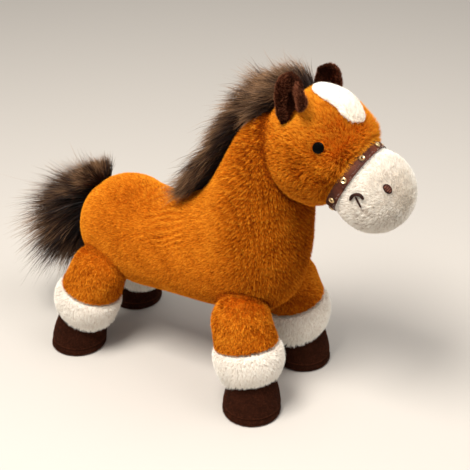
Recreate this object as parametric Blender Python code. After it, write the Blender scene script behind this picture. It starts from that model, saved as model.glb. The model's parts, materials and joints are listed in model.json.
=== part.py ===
"""A plush horse standing on four legs, as separate sewn and glued pieces. Metres, +Z up, +X forward."""

import math

import bmesh
import bpy
import numpy as np
from mathutils import Matrix, Vector

# Gaps between pieces
SEAM_GAP = 0.0004
TURNING_GAP = 0.0008
CUT_OVERRUN = 0.004

# Body and neck: one stuffed form that swells and tapers from the rump to the head
BODY_LENGTH = 0.209
BACK_HEIGHT = 0.147
BODY_WIDTH = 0.087
RUMP_ROUND = 0.052
RUMP_CROWDING = 1.6
# From the rump on: the back line's x and z, the belly and throat line's x and z, and the width
BODY_SHAPE_SHARES = (
    (-0.500, 0.990, -0.500, 0.410, 0.99),
    (-0.260, 1.005, -0.260, 0.398, 1.00),
    (-0.120, 0.990, -0.050, 0.420, 0.97),
    (-0.050, 1.020, 0.190, 0.438, 0.96),
    (0.020, 1.070, 0.360, 0.485, 0.96),
    (0.100, 1.175, 0.458, 0.610, 0.95),
    (0.166, 1.330, 0.500, 0.800, 0.93),
    (0.220, 1.470, 0.506, 0.990, 0.88),
    (0.272, 1.585, 0.504, 1.150, 0.83),
    (0.340, 1.680, 0.520, 1.310, 0.76),
    (0.420, 1.720, 0.560, 1.450, 0.66),
)
NECK_SEAM_SHARE = 0.44
CREST_START_SHARE = 0.225
CREST_END_SHARE = 0.86

# Head: a ball that rocks on the neck, running out to a snout
HEAD_AHEAD_SHARE = 0.5407
HEAD_RISE_SHARE = 1.5102
HEAD_X = HEAD_AHEAD_SHARE * BODY_LENGTH
HEAD_Z = HEAD_RISE_SHARE * BACK_HEIGHT
SKULL_RADIUS = 0.0425
SKULL_WIDTH = 0.078
HEAD_DROOP_DEG = 25.5
HEAD_TURN_DEG = -1.5
SNOUT_START = 0.017
SNOUT_END = 0.0345
SNOUT_RADIUS = 0.0270
SNOUT_FULLNESS = 1.7

# Muzzle: a white ball of plush beyond the noseband
MUZZLE_LENGTH = 0.0465
MUZZLE_RADIUS = 0.0298
MUZZLE_DROP = 0.0010
MUZZLE_NECK_LENGTH = 0.0045

# Noseband and its eyelets
BAND_WIDTH = 0.0076
BAND_THICKNESS = 0.0013
EYELET_COUNT = 9
EYELET_START_DEG = 10.0
EYELET_FLANGE_RADIUS = 0.0024
EYELET_BARREL_RADIUS = 0.0014
EYELET_BORE_RADIUS = 0.0009
EYELET_FLANGE_HEIGHT = 0.0009

# Safety eyes: a bead on a shank, held by a washer behind the cloth
EYE_RADIUS = 0.0046
EYE_STAND = 0.0024
EYE_ALONG = 0.0089
EYE_UP = 0.0221
SHANK_RADIUS = 0.0016
SHANK_LENGTH = 0.0100
WASHER_RADIUS = 0.0050
WASHER_THICKNESS = 0.0012
CLOTH_THICKNESS = 0.0030

# Stitches on the muzzle
NOSTRIL_LENGTH = 0.0080
NOSTRIL_WIDTH = 0.0058
NOSTRIL_THICKNESS = 0.0012
NOSTRIL_SHARES = ((0, 0), (0.5, 0), (1, 0), (0.96, 0.45), (0.75, 0.8), (0.4, 1), (0, 1))
NOSTRIL_OUT_DEG = 61.0
NOSTRIL_UP_DEG = 45.5
NOSTRIL_TURN_DEG = 25.0
STITCH_RADIUS = 0.0008
DIMPLE_DEG = ((100.0, 6.0), (101.0, 12.0), (98.0, 17.5), (92.5, 20.0), (86.5, 18.5))
SMILE_DEG = ((95.5, 13.5), (91.0, 11.0), (86.0, 8.5), (81.0, 5.5))

# Blaze on the forehead
BLAZE_LENGTH = 0.041
BLAZE_WIDTH = 0.025
BLAZE_THICKNESS = 0.0016
BLAZE_MIDDLE_DEG = 91.0
# share of the outline and share of the thickness, under and over the pad
BLAZE_SHARES = ((0, 0), (0.35, 0), (0.7, 0), (1, 0), (1, 0.35), (0.93, 0.75), (0.8, 1), (0.4, 1), (0, 1))

# Ears
EAR_LENGTH = 0.026
EAR_WIDTH = 0.023
EAR_THICKNESS = 0.0050
EAR_CUP = 0.0085
EAR_ROUND_POWER = 0.6
EAR_ROOT_RADIUS = 0.0052
EAR_SIDE_DEG = 42.0
EAR_BACK_DEG = 16.0
EAR_FLARE_DEG = -8.0

# Mane: a strip of long pile from the withers over the neck to the top of the head
MANE_WIDTH = 0.019
MANE_HEIGHT = 0.031
CREST_END_DEG = (136.0, 120.0, 105.0)
MANE_SINK = 0.006
MANE_END_POWER = 0.45

# Tail: a tuft on a sewn root
TAIL_LENGTH = 0.084
TAIL_RADIUS = 0.048
TAIL_WIDTH_SHARE = 0.72
TAIL_SAG = 0.033
TAIL_ROOT_RADIUS = 0.0085
# From the root to the tip: place along the tuft and radius
TAIL_SHAPE_SHARES = (
    (0.0, 0.16),
    (0.08, 0.20),
    (0.16, 0.66),
    (0.25, 0.95),
    (0.34, 1.0),
    (0.47, 0.92),
    (0.61, 0.77),
    (0.76, 0.56),
    (0.88, 0.36),
    (0.96, 0.19),
    (1.0, 0.0),
)
TAIL_ROOT_SHARE = 0.78
TAIL_ROOT_Z = TAIL_ROOT_SHARE * BACK_HEIGHT
TAIL_DROOP_DEG = 4.0

# Legs: hip and foot centres, the ball that turns in the body, sock, hoof and sole
FRONT_HIP_SHARE = 0.342
REAR_HIP_SHARE = -0.325
HIP_TRACK_SHARE = 0.851
HIP_RISE_SHARE = 0.524
FRONT_HIP_X = FRONT_HIP_SHARE * BODY_LENGTH
REAR_HIP_X = REAR_HIP_SHARE * BODY_LENGTH
HIP_TRACK = HIP_TRACK_SHARE * BODY_WIDTH
HIP_Z = HIP_RISE_SHARE * BACK_HEIGHT
HIP_RADIUS = 0.0245
FRONT_FOOT_SHARE = 0.404
REAR_FOOT_SHARE = -0.438
FOOT_TRACK_SHARE = 0.965
FRONT_FOOT_X = FRONT_FOOT_SHARE * BODY_LENGTH
REAR_FOOT_X = REAR_FOOT_SHARE * BODY_LENGTH
FOOT_TRACK = FOOT_TRACK_SHARE * BODY_WIDTH
LEG_BOW = 0.0035
FRONT_LEG_TILT_DEG = 14.0
REAR_LEG_TILT_DEG = -14.0
LEG_SIDE_TILT_DEG = 9.0
LEG_RADIUS = 0.0262
SOCK_TOP_Z = 0.058
SOCK_RADIUS = 0.0282
SOCK_TOP_RADIUS = 0.0264
SOCK_END_RADIUS = 0.0205
HOOF_TOP_Z = 0.028
HOOF_TOP_RADIUS = 0.0195
HOOF_RADIUS = 0.0236
SOLE_THICKNESS = 0.0022
SOLE_EDGE = 0.0008
LEG_SWING_DEG = 12.0
POCKET_EASE_DEG = 2.0
POCKET_EASE = 0.0017

# How finely round forms are cut
BODY_SIDES = 32
LIMB_SIDES = 24
SMALL_SIDES = 14
BODY_RINGS = 25
HEAD_RINGS = 17
LIMB_RINGS = 9

HALF_TURN = math.pi
FULL_TURN = 2 * math.pi
X_AXIS, Y_AXIS, Z_AXIS = Vector((1, 0, 0)), Vector((0, 1, 0)), Vector((0, 0, 1))

SIDES = {"left": 1, "right": -1}
ENDS = {"front": 1, "rear": -1}


def clear_scene():
    for item in list(bpy.data.objects):
        bpy.data.objects.remove(item, do_unlink=True)


def material(name, colour, roughness, metallic=0.0):
    made = bpy.data.materials.new(name)
    made.use_nodes = True
    shader = made.node_tree.nodes["Principled BSDF"]
    shader.inputs["Base Color"].default_value = (*colour, 1)
    shader.inputs["Roughness"].default_value = roughness
    shader.inputs["Metallic"].default_value = metallic
    made.diffuse_color = (*colour, 1)
    return made


def empty_at(name, place, parent=None):
    """An empty on a joint's middle, which carries the pieces that turn about it."""
    made = bpy.data.objects.new(name, None)
    bpy.context.scene.collection.objects.link(made)
    made.parent = parent
    made.location = place
    return made


def object_from(form, name, look, parent, smooth=True):
    bmesh.ops.remove_doubles(form, verts=form.verts, dist=1e-7)
    bmesh.ops.recalc_face_normals(form, faces=form.faces)
    mesh = bpy.data.meshes.new(name)
    form.to_mesh(mesh)
    form.free()
    made = bpy.data.objects.new(name, mesh)
    bpy.context.scene.collection.objects.link(made)
    made.parent = parent
    if look:
        mesh.materials.append(look)
    if smooth:
        mesh.shade_smooth()
        mesh.set_sharp_from_angle(angle=math.radians(50))
    return made


def as_cutter(made):
    made.hide_render = True
    made.display_type = "WIRE"
    return made


def cut(target, cutter):
    modifier = target.modifiers.new("cut_" + cutter.name, "BOOLEAN")
    modifier.operation = "DIFFERENCE"
    modifier.solver = "EXACT"
    modifier.object = cutter


def read_shares(shares, place):
    """Reads a table of shares smoothly between its rows."""
    table = np.array(shares)
    places, values = table[:, 0], table[:, 1:]
    slopes = np.gradient(values, places, axis=0)
    i = int(np.clip(np.searchsorted(places, place, side="right") - 1, 0, len(places) - 2))
    span = places[i + 1] - places[i]
    t = (place - places[i]) / span
    start = (1 + 2 * t) * (1 - t) ** 2 * values[i] + t * (1 - t) ** 2 * span * slopes[i]
    end = t * t * (3 - 2 * t) * values[i + 1] + t * t * (t - 1) * span * slopes[i + 1]
    return start + end


def rounding(distance, radius):
    """The share of its full size that a form has at this distance from a rounded end."""
    if distance >= radius:
        return 1.0
    return math.sqrt(max(0.0, 1 - (1 - distance / radius) ** 2))


def oval(centre, up, side, half_up, half_side, sides):
    """A ring of points, or one point where both half sizes are nothing."""
    if half_up <= 0 or half_side <= 0:
        return [centre]
    turns = [FULL_TURN * i / sides for i in range(sides)]
    return [centre + up * (half_up * math.cos(a)) + side * (half_side * math.sin(a)) for a in turns]


def skin_rings(rings):
    """A closed mesh through the rings: an end ring of one point is a pole, and a wide one a flat cap."""
    form = bmesh.new()
    rows = [[form.verts.new(point) for point in ring] for ring in rings]
    for row, following in zip(rows, rows[1:]):
        count = max(len(row), len(following))
        for i in range(count):
            j = (i + 1) % count
            corners = [row[i % len(row)], row[j % len(row)]]
            corners += [following[j % len(following)], following[i % len(following)]]
            form.faces.new(list(dict.fromkeys(corners)))
    for row in (rows[0], rows[-1]):
        if len(row) > 2:
            form.faces.new(row)
    return form


def turned(profile, sides, closed_ring=False):
    """A form turned about Z from (radius, height) points, as a solid or as a ring with a bore."""
    rings = [oval(Vector((0, 0, z)), X_AXIS, Y_AXIS, r, r, sides) for r, z in profile]
    if not closed_ring:
        return skin_rings(rings)
    form = bmesh.new()
    rows = [[form.verts.new(point) for point in ring] for ring in rings]
    for row, following in zip(rows, rows[1:] + rows[:1]):
        for i in range(sides):
            j = (i + 1) % sides
            form.faces.new((row[i], row[j], following[j], following[i]))
    return form


def eased_places(count):
    """Places from 0 to 1 that lie closer together at both ends."""
    return [0.5 - 0.5 * math.cos(HALF_TURN * i / (count - 1)) for i in range(count)]


def ball_profile(radius, start_deg, end_deg, count):
    """(radius, height) points along a ball's side between two angles from its lowest point."""
    angles = np.radians(np.linspace(start_deg, end_deg, count))
    return [(max(0.0, radius * math.sin(a)), -radius * math.cos(a)) for a in angles]


def body_ring(share, grow=0.0):
    """The ring of the body at a share of the way from the rump to the head."""
    table = [(i / (len(BODY_SHAPE_SHARES) - 1), *row) for i, row in enumerate(BODY_SHAPE_SHARES)]
    back_x, back_z, low_x, low_z, wide = read_shares(table, share)
    back = Vector((back_x * BODY_LENGTH, 0, back_z * BACK_HEIGHT))
    low = Vector((low_x * BODY_LENGTH, 0, low_z * BACK_HEIGHT))
    centre = (back + low) / 2
    end = rounding(centre.x + BODY_LENGTH / 2, RUMP_ROUND)
    out = (back - low).normalized()
    high = (back - low).length / 2 * end
    half_wide = wide * BODY_WIDTH / 2 * end
    if end > 0:
        high, half_wide = high + grow, half_wide + grow
    return oval(centre, out, Y_AXIS, high, half_wide, BODY_SIDES)


def body_shares(first, last, count):
    """Shares along the body, closer together at the rump's round end."""
    places = np.linspace(0, 1, count)
    return first + (last - first) * (places**RUMP_CROWDING if first == 0 else places)


def back_point(share):
    """A place on the back and crest line, by its share of the way from the rump to the head."""
    table = [(i / (len(BODY_SHAPE_SHARES) - 1), row[0], row[1]) for i, row in enumerate(BODY_SHAPE_SHARES)]
    x, z = read_shares(table, share)
    return Vector((x * BODY_LENGTH, 0, z * BACK_HEIGHT))


def head_rings(grow=0.0):
    """The skull and snout about the head's own middle, with the snout along X."""
    wide_share = SKULL_WIDTH / (2 * SKULL_RADIUS)
    radius = SKULL_RADIUS + grow
    rings = []
    for angle in np.linspace(0, HALF_TURN, HEAD_RINGS):
        x = -radius * math.cos(angle)
        if x > SNOUT_START:
            break
        r = radius * math.sin(angle) if angle > 0 else 0
        rings.append(oval(Vector((x, 0, 0)), Z_AXIS, Y_AXIS, r, r * wide_share, BODY_SIDES))
    start_radius = math.sqrt(radius**2 - SNOUT_START**2)
    straight = SNOUT_END - BAND_WIDTH / 2 - SEAM_GAP
    for share in np.linspace(0, 1, 4):
        x = SNOUT_START + share * (straight - SNOUT_START)
        bow = share**SNOUT_FULLNESS
        r = start_radius + (SNOUT_RADIUS + grow - start_radius) * bow
        wide = wide_share + (1 - wide_share) * bow
        rings.append(oval(Vector((x, 0, 0)), Z_AXIS, Y_AXIS, r, r * wide, BODY_SIDES))
    r = SNOUT_RADIUS + grow
    rings.append(oval(Vector((SNOUT_END, 0, 0)), Z_AXIS, Y_AXIS, r, r, BODY_SIDES))
    return rings


def build_torso(looks, root):
    """Body and neck share one outline, and a flat seam parts them at the shoulder."""
    body_form = skin_rings([body_ring(share) for share in body_shares(0, NECK_SEAM_SHARE, BODY_RINGS)])
    neck_form = skin_rings([body_ring(share) for share in body_shares(NECK_SEAM_SHARE, 1, LIMB_RINGS * 2)])
    seam = [Vector(point) for point in body_ring(NECK_SEAM_SHARE)]
    ahead = (seam[0] - seam[len(seam) // 2]).cross(Y_AXIS).normalized()
    ahead = ahead if ahead.x > 0 else -ahead
    bmesh.ops.translate(neck_form, verts=neck_form.verts, vec=ahead * SEAM_GAP)
    body = object_from(body_form, "body", looks["brown"], root)
    neck = object_from(neck_form, "neck", looks["brown"], root)
    return body, neck


def skull_room(head):
    """The space that the head's ball turns in."""
    rings = head_rings(TURNING_GAP)
    return as_cutter(object_from(skin_rings(rings), "skull_room", None, head))


def build_head(looks, head):
    return object_from(skin_rings(head_rings()), "head", looks["brown"], head)


def hip_place(end, side):
    x = FRONT_HIP_X if end > 0 else REAR_HIP_X
    return Vector((x, side * HIP_TRACK / 2, HIP_Z))


def leg_centre(end, side, z):
    """The middle of a leg at a height: it runs straight from the hip to the foot."""
    hip = hip_place(end, side)
    foot = Vector((FRONT_FOOT_X if end > 0 else REAR_FOOT_X, side * FOOT_TRACK / 2, 0))
    share = max(0.0, (HIP_Z - z) / HIP_Z)
    return hip.lerp(foot, share) + X_AXIS * (end * LEG_BOW * math.sin(HALF_TURN * share))


def leg_axes(end, side, level=0.0):
    """Ahead, sideways and up for a leg's rings, tilted as it leans, or level at the ground."""
    tilt = math.radians(FRONT_LEG_TILT_DEG if end > 0 else REAR_LEG_TILT_DEG) * (1 - level)
    outward = math.radians(LEG_SIDE_TILT_DEG) * side * (1 - level)
    turn = Matrix.Rotation(outward, 3, "X") @ Matrix.Rotation(-tilt, 3, "Y")
    return turn @ X_AXIS, turn @ Y_AXIS, turn @ Z_AXIS


def swept_ring(centre, ahead, across, radius, spread):
    """A round ring, drawn out ahead and behind where it has to clear a swing."""
    if radius <= 0:
        return [centre]
    ring = []
    for point in oval(centre, ahead, across, radius, radius, LIMB_SIDES):
        way = 2 * (point - centre).dot(ahead) / radius
        ring.append(point + ahead * (spread * max(-1, min(1, way))))
    return ring


def leg_ring(end, side, z, radius, spread=0.0, level=0.0):
    """A ring about the hip, tilted as the leg leans, or level where it meets the ground."""
    ahead, across, _ = leg_axes(end, side, level)
    centre = leg_centre(end, side, z) - hip_place(end, side)
    return swept_ring(centre, ahead, across, radius, spread)


def leg_rings(end, side, bottom, grow=0.0, swing=0.0, ease=0.0):
    """From the top of the ball down to the sock, about the hip."""
    ahead, across, above = leg_axes(end, side)
    radius = HIP_RADIUS + grow
    rings = []
    for angle in np.linspace(0, HALF_TURN / 2, LIMB_RINGS):
        r = radius * math.sin(angle) if angle > 0 else 0
        spread = ease * math.sin(angle) ** 2
        rings.append(swept_ring(above * (radius * math.cos(angle)), ahead, across, r, spread))
    for share in (1 / 3, 2 / 3, 1):
        z = HIP_Z + (bottom - HIP_Z) * share
        r = HIP_RADIUS + (LEG_RADIUS - HIP_RADIUS) * share + grow
        rings.append(leg_ring(end, side, z, r, ease + (HIP_Z - z) * math.tan(math.radians(swing))))
    return rings


def hip_room(end, side, name, hip_empty):
    """The pocket in the body that a leg's ball turns in, wider below by the leg's swing."""
    swing = LEG_SWING_DEG + POCKET_EASE_DEG
    middle = (HIP_Z + SOCK_TOP_Z) / 2
    rings = leg_rings(end, side, middle, TURNING_GAP, swing, POCKET_EASE)
    for z in (middle - CUT_OVERRUN / 8, SOCK_TOP_Z - SOCK_RADIUS):
        spread = POCKET_EASE + (HIP_Z - z) * math.tan(math.radians(swing))
        rings.append(leg_ring(end, side, z, SOCK_RADIUS + TURNING_GAP, spread))
    return as_cutter(object_from(skin_rings(rings), name, None, hip_empty))


def sock_rings(end, side):
    tall = SOCK_TOP_Z - HOOF_TOP_Z - SEAM_GAP
    rings = []
    for share in (0.0, 0.1, 0.25, 0.45, 0.65, 0.82, 0.94, 1.0):
        low = SOCK_END_RADIUS + (SOCK_TOP_RADIUS - SOCK_END_RADIUS) * (1 - share)
        swell = (SOCK_RADIUS - (SOCK_TOP_RADIUS + SOCK_END_RADIUS) / 2) * math.sin(HALF_TURN * share) ** 0.7
        swell = swell if 0 < share < 1 else 0
        rings.append(leg_ring(end, side, SOCK_TOP_Z - SEAM_GAP / 2 - share * tall, low + swell))
    return rings


def hoof_rings(end, side):
    top = HOOF_TOP_Z - SEAM_GAP / 2
    bottom = SOLE_THICKNESS + SEAM_GAP
    rings = []
    for share in (0.0, 0.3, 0.55, 0.8, 1.0):
        r = HOOF_TOP_RADIUS + (HOOF_RADIUS - HOOF_TOP_RADIUS) * math.sin(HALF_TURN / 2 * share)
        rings.append(leg_ring(end, side, top + (bottom - top) * share, r, 0, share))
    return rings


def sole_rings(end, side):
    rows = ((SOLE_THICKNESS, HOOF_RADIUS), (SOLE_EDGE, HOOF_RADIUS), (0.0, HOOF_RADIUS - SOLE_EDGE))
    return [leg_ring(end, side, z, r, 0, 1) for z, r in rows]


def build_leg(end_name, side_name, looks, root, torso):
    end, side = ENDS[end_name], SIDES[side_name]
    tag = f"{end_name}_{side_name}"
    hip = empty_at(f"hip_{tag}_joint", hip_place(end, side), root)
    room = hip_room(end, side, f"hip_room_{tag}", hip)
    for piece in torso if end > 0 else torso[:1]:
        cut(piece, room)
    upper = leg_rings(end, side, SOCK_TOP_Z + SEAM_GAP / 2)
    pieces = (
        (upper, f"leg_{tag}", "brown"),
        (sock_rings(end, side), f"sock_{tag}", "white"),
        (hoof_rings(end, side), f"hoof_{tag}", "chocolate"),
        (sole_rings(end, side), f"sole_{tag}", "chocolate"),
    )
    for rings, name, look in pieces:
        object_from(skin_rings(rings), name, looks[look], hip)


def muzzle_rings():
    start = SNOUT_END + SEAM_GAP
    rings = []
    neck_r = SNOUT_RADIUS - SEAM_GAP
    ball_x = start + MUZZLE_LENGTH - MUZZLE_RADIUS
    for x in (start, start + MUZZLE_NECK_LENGTH):
        rings.append(oval(Vector((x, 0, 0)), Z_AXIS, Y_AXIS, neck_r, neck_r, BODY_SIDES))
    first = math.asin(min(1.0, neck_r / MUZZLE_RADIUS)) * 1.1
    for angle in np.linspace(first, HALF_TURN, LIMB_RINGS + 1):
        x = ball_x - MUZZLE_RADIUS * math.cos(angle)
        r = MUZZLE_RADIUS * math.sin(angle) if angle < HALF_TURN else 0
        drop = -MUZZLE_DROP * (x - start) / MUZZLE_LENGTH
        if x > start + MUZZLE_NECK_LENGTH:
            rings.append(oval(Vector((x, 0, drop)), Z_AXIS, Y_AXIS, r, r, BODY_SIDES))
    return rings


def build_muzzle(looks, head):
    return object_from(skin_rings(muzzle_rings()), "muzzle", looks["white"], head)


def band_inner():
    return SNOUT_RADIUS + SEAM_GAP


def build_noseband(looks, head):
    inner, outer = band_inner(), band_inner() + BAND_THICKNESS
    back, front = SNOUT_END - BAND_WIDTH / 2, SNOUT_END + BAND_WIDTH / 2
    form = turned(((inner, back), (outer, back), (outer, front), (inner, front)), BODY_SIDES * 2, True)
    bmesh.ops.rotate(form, verts=form.verts, cent=(0, 0, 0), matrix=Matrix.Rotation(HALF_TURN / 2, 3, "Y"))
    return object_from(form, "noseband", looks["leather"], head)


def build_eyelets(looks, head, band):
    outer = band_inner() + BAND_THICKNESS
    sag = EYELET_FLANGE_RADIUS**2 / (2 * outer)
    under = SEAM_GAP / 2
    foot = -BAND_THICKNESS - sag
    profile = (
        (EYELET_BORE_RADIUS, foot),
        (EYELET_BARREL_RADIUS, foot),
        (EYELET_BARREL_RADIUS, under),
        (EYELET_FLANGE_RADIUS, under),
        (EYELET_FLANGE_RADIUS * 0.92, under + EYELET_FLANGE_HEIGHT * 0.6),
        (EYELET_FLANGE_RADIUS * 0.70, under + EYELET_FLANGE_HEIGHT),
        (EYELET_BORE_RADIUS, under + EYELET_FLANGE_HEIGHT * 0.6),
    )
    for index in range(EYELET_COUNT):
        turn = math.radians(EYELET_START_DEG) + FULL_TURN * index / EYELET_COUNT
        place = Matrix.Rotation(-turn, 4, "X") @ Matrix.Translation((SNOUT_END, 0, outer))
        form = turned(profile, SMALL_SIDES, True)
        made = object_from(form, f"eyelet_{index + 1}", looks["gold"], head)
        made.matrix_local = place
        hole, reach = EYELET_BARREL_RADIUS + SEAM_GAP / 2, CUT_OVERRUN / 2
        cutter = turned(((0, -reach), (hole, -reach), (hole, reach), (0, reach)), SMALL_SIDES)
        drill = as_cutter(object_from(cutter, f"eyelet_hole_{index + 1}", None, head))
        drill.matrix_local = place
        cut(band, drill)


def skull_normal_matrix(x, y, z):
    """A frame on the skull: its Z points straight out of the cloth at the place."""
    wide = SKULL_WIDTH / (2 * SKULL_RADIUS)
    normal = Vector((x, y / wide**2, z)).normalized()
    return Matrix.Translation((x, y, z)) @ Z_AXIS.rotation_difference(normal).to_matrix().to_4x4()


def eye_place(side):
    wide = SKULL_WIDTH / (2 * SKULL_RADIUS)
    y = math.sqrt(SKULL_RADIUS**2 - EYE_ALONG**2 - EYE_UP**2) * wide
    return skull_normal_matrix(EYE_ALONG, side * y, EYE_UP)


def build_eyes(looks, head, skull):
    seat = SEAM_GAP
    flat = EYE_RADIUS * 0.9
    bead = [(0.0, -SHANK_LENGTH), (SHANK_RADIUS, -SHANK_LENGTH), (SHANK_RADIUS, seat), (flat, seat)]
    for share in (0.35, 0.6, 0.8, 0.94):
        angle = HALF_TURN / 2 * share
        bead.append((EYE_RADIUS * math.cos(angle * 0.9), seat + EYE_STAND * math.sin(angle)))
    bead.append((0.0, seat + EYE_STAND))
    hole = SHANK_RADIUS + SEAM_GAP
    room = WASHER_RADIUS + SEAM_GAP
    top = -CLOTH_THICKNESS
    low = top - WASHER_THICKNESS - 2 * SEAM_GAP
    end = -SHANK_LENGTH - SEAM_GAP
    pocket = [(0, end), (hole, end), (hole, low), (room, low), (room, top), (hole, top)]
    pocket += [(hole, CUT_OVERRUN), (0, CUT_OVERRUN)]
    ring_top, ring_low = top - SEAM_GAP, low + SEAM_GAP
    washer = ((hole, ring_low), (WASHER_RADIUS, ring_low), (WASHER_RADIUS, ring_top), (hole, ring_top))
    for side_name, side in SIDES.items():
        place = eye_place(side)
        for form, name, look in (
            (turned(bead, SMALL_SIDES + 4), f"eye_{side_name}", looks["black"]),
            (turned(washer, SMALL_SIDES + 4, True), f"eye_washer_{side_name}", looks["white"]),
        ):
            made = object_from(form, name, look, head)
            made.matrix_local = place
        drill = as_cutter(object_from(turned(pocket, SMALL_SIDES + 4), f"eye_room_{side_name}", None, head))
        drill.matrix_local = place
        cut(skull, drill)


def muzzle_point(out_deg, up_deg, lift=0.0):
    """A place on the front of the muzzle by its angles from the snout's line, and the way out there."""
    out, up = math.radians(out_deg), math.radians(up_deg)
    way = Vector((math.cos(out) * math.cos(up), math.sin(out) * math.cos(up), math.sin(up)))
    centre = Vector((SNOUT_END + SEAM_GAP + MUZZLE_LENGTH - MUZZLE_RADIUS, 0, -MUZZLE_DROP / 2))
    return centre + way * (MUZZLE_RADIUS + lift), way


def build_nostrils(looks, head):
    for side_name, side in SIDES.items():
        point, way = muzzle_point(side * NOSTRIL_OUT_DEG, NOSTRIL_UP_DEG)
        rings = []
        for share, high in NOSTRIL_SHARES:
            centre = Z_AXIS * (SEAM_GAP + high * NOSTRIL_THICKNESS)
            long, wide = share * NOSTRIL_LENGTH / 2, share * NOSTRIL_WIDTH / 2
            rings.append(oval(centre, X_AXIS, Y_AXIS, long, wide, SMALL_SIDES))
        form = skin_rings(rings)
        for vertex in form.verts:
            vertex.co.z -= (vertex.co.x**2 + vertex.co.y**2) / (2 * MUZZLE_RADIUS)
        made = object_from(form, f"nostril_{side_name}", looks["thread"], head)
        turn = Matrix.Rotation(side * math.radians(NOSTRIL_TURN_DEG), 4, "Z")
        made.matrix_local = Matrix.Translation(point) @ way.to_track_quat("Z", "Y").to_matrix().to_4x4() @ turn


def stitch(spots, name, look, head):
    """A raised line of stitches over the muzzle, through (degrees out, degrees up) spots."""
    table = [(i / (len(spots) - 1), *spot) for i, spot in enumerate(spots)]
    lift = STITCH_RADIUS + SEAM_GAP
    line = [muzzle_point(*read_shares(table, place), lift) for place in np.linspace(0, 1, LIMB_RINGS)]
    rings = []
    for i, (point, way) in enumerate(line):
        ahead = line[min(i + 1, len(line) - 1)][0] - line[max(i - 1, 0)][0]
        across = ahead.cross(way).normalized()
        size = STITCH_RADIUS * (1 if 0 < i < len(line) - 1 else 0.5)
        rings.append(oval(point, way, across, size, size, 6))
    return object_from(skin_rings(rings), name, look, head)


def build_smile(looks, head):
    """A dimple's arc at each side of the muzzle, and the line that runs from it to the front."""
    for side_name, side in SIDES.items():
        arc = [(side * out, up) for out, up in DIMPLE_DEG]
        line = [(side * out, up) for out, up in SMILE_DEG]
        stitch(arc, f"dimple_{side_name}", looks["thread"], head)
        stitch(line, f"smile_{side_name}", looks["thread"], head)


def build_blaze(looks, head):
    """A pad of smooth plush on the forehead, bent over the skull."""
    middle = math.radians(BLAZE_MIDDLE_DEG)
    base = SKULL_RADIUS + SEAM_GAP * 1.5
    wide_share = SKULL_WIDTH / (2 * SKULL_RADIUS)
    rings = []
    for share, high in BLAZE_SHARES:
        ring = []
        count = BODY_SIDES if share > 0 else 1
        for i in range(count):
            a = FULL_TURN * i / BODY_SIDES
            along = share * BLAZE_LENGTH / 2 * math.cos(a) / base
            pinch = 1 - 0.18 * math.cos(a)
            side = share * BLAZE_WIDTH / 2 * math.sin(a) * pinch / base
            r = base + high * BLAZE_THICKNESS
            angle = middle - along
            low = r * math.cos(side)
            point = Vector((low * math.cos(angle), r * wide_share * math.sin(side), low * math.sin(angle)))
            ring.append(point)
        rings.append(ring)
    return object_from(skin_rings(rings), "blaze", looks["white"], head)


def ear_place(side):
    """Where an ear's root sits on the skull, in the head's own axes."""
    wide = SKULL_WIDTH / (2 * SKULL_RADIUS)
    out, back = math.radians(EAR_SIDE_DEG), math.radians(EAR_BACK_DEG + HEAD_DROOP_DEG)
    way = Vector((-math.sin(back) * math.cos(out), side * math.sin(out) * wide, math.cos(back) * math.cos(out)))
    return way * (SKULL_RADIUS + EAR_ROOT_RADIUS / 2)


def build_ears(looks, head, skull):
    """A cupped leaf on a round root, which turns in a dimple of the skull."""
    for side_name, side in SIDES.items():
        pivot = empty_at(f"ear_{side_name}_joint", ear_place(side), head)
        stand = Matrix.Rotation(-math.radians(HEAD_DROOP_DEG), 4, "Y")
        stand @= Matrix.Rotation(-side * math.radians(EAR_FLARE_DEG), 4, "X")
        rings = []
        for share in eased_places(LIMB_RINGS + 4):
            z = -EAR_ROOT_RADIUS + share * (EAR_LENGTH + EAR_ROOT_RADIUS)
            root = math.sqrt(max(0.0, EAR_ROOT_RADIUS**2 - min(z, 0) ** 2))
            leaf = EAR_WIDTH / 2 * math.sin(HALF_TURN * share) ** EAR_ROUND_POWER if share < 1 else 0
            half_wide = max(root if z < EAR_ROOT_RADIUS / 2 else 0, leaf if z > 0 else 0)
            half_thick = EAR_THICKNESS / 2 * (1 - 0.3 * share) if z > 0 else root
            half_thick = min(half_thick, half_wide)
            ring = oval(Vector((0, 0, z)), X_AXIS, Y_AXIS, half_wide, half_thick, SMALL_SIDES + 2)
            cup = EAR_CUP * math.sin(HALF_TURN * share)
            for point in ring:
                bent = (point.x / (EAR_WIDTH / 2)) ** 2 if len(ring) > 1 else 0
                point.y += side * cup * bent
            rings.append(ring)
        made = object_from(skin_rings(rings), f"ear_{side_name}", looks["chocolate"], pivot)
        made.matrix_local = stand
        dimple = turned(ball_profile(EAR_ROOT_RADIUS + TURNING_GAP, 0, 180, LIMB_RINGS), SMALL_SIDES)
        cut(skull, as_cutter(object_from(dimple, f"ear_dimple_{side_name}", None, pivot)))


def crest_path():
    """The crest line from the withers up the neck and over the skull."""
    head = Vector((HEAD_X, 0, HEAD_Z))
    points = [back_point(share) for share in np.linspace(CREST_START_SHARE, CREST_END_SHARE, 6)]
    for angle in CREST_END_DEG:
        a = math.radians(angle)
        points.append(head + Vector((math.cos(a), 0, math.sin(a))) * SKULL_RADIUS)
    return points


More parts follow.
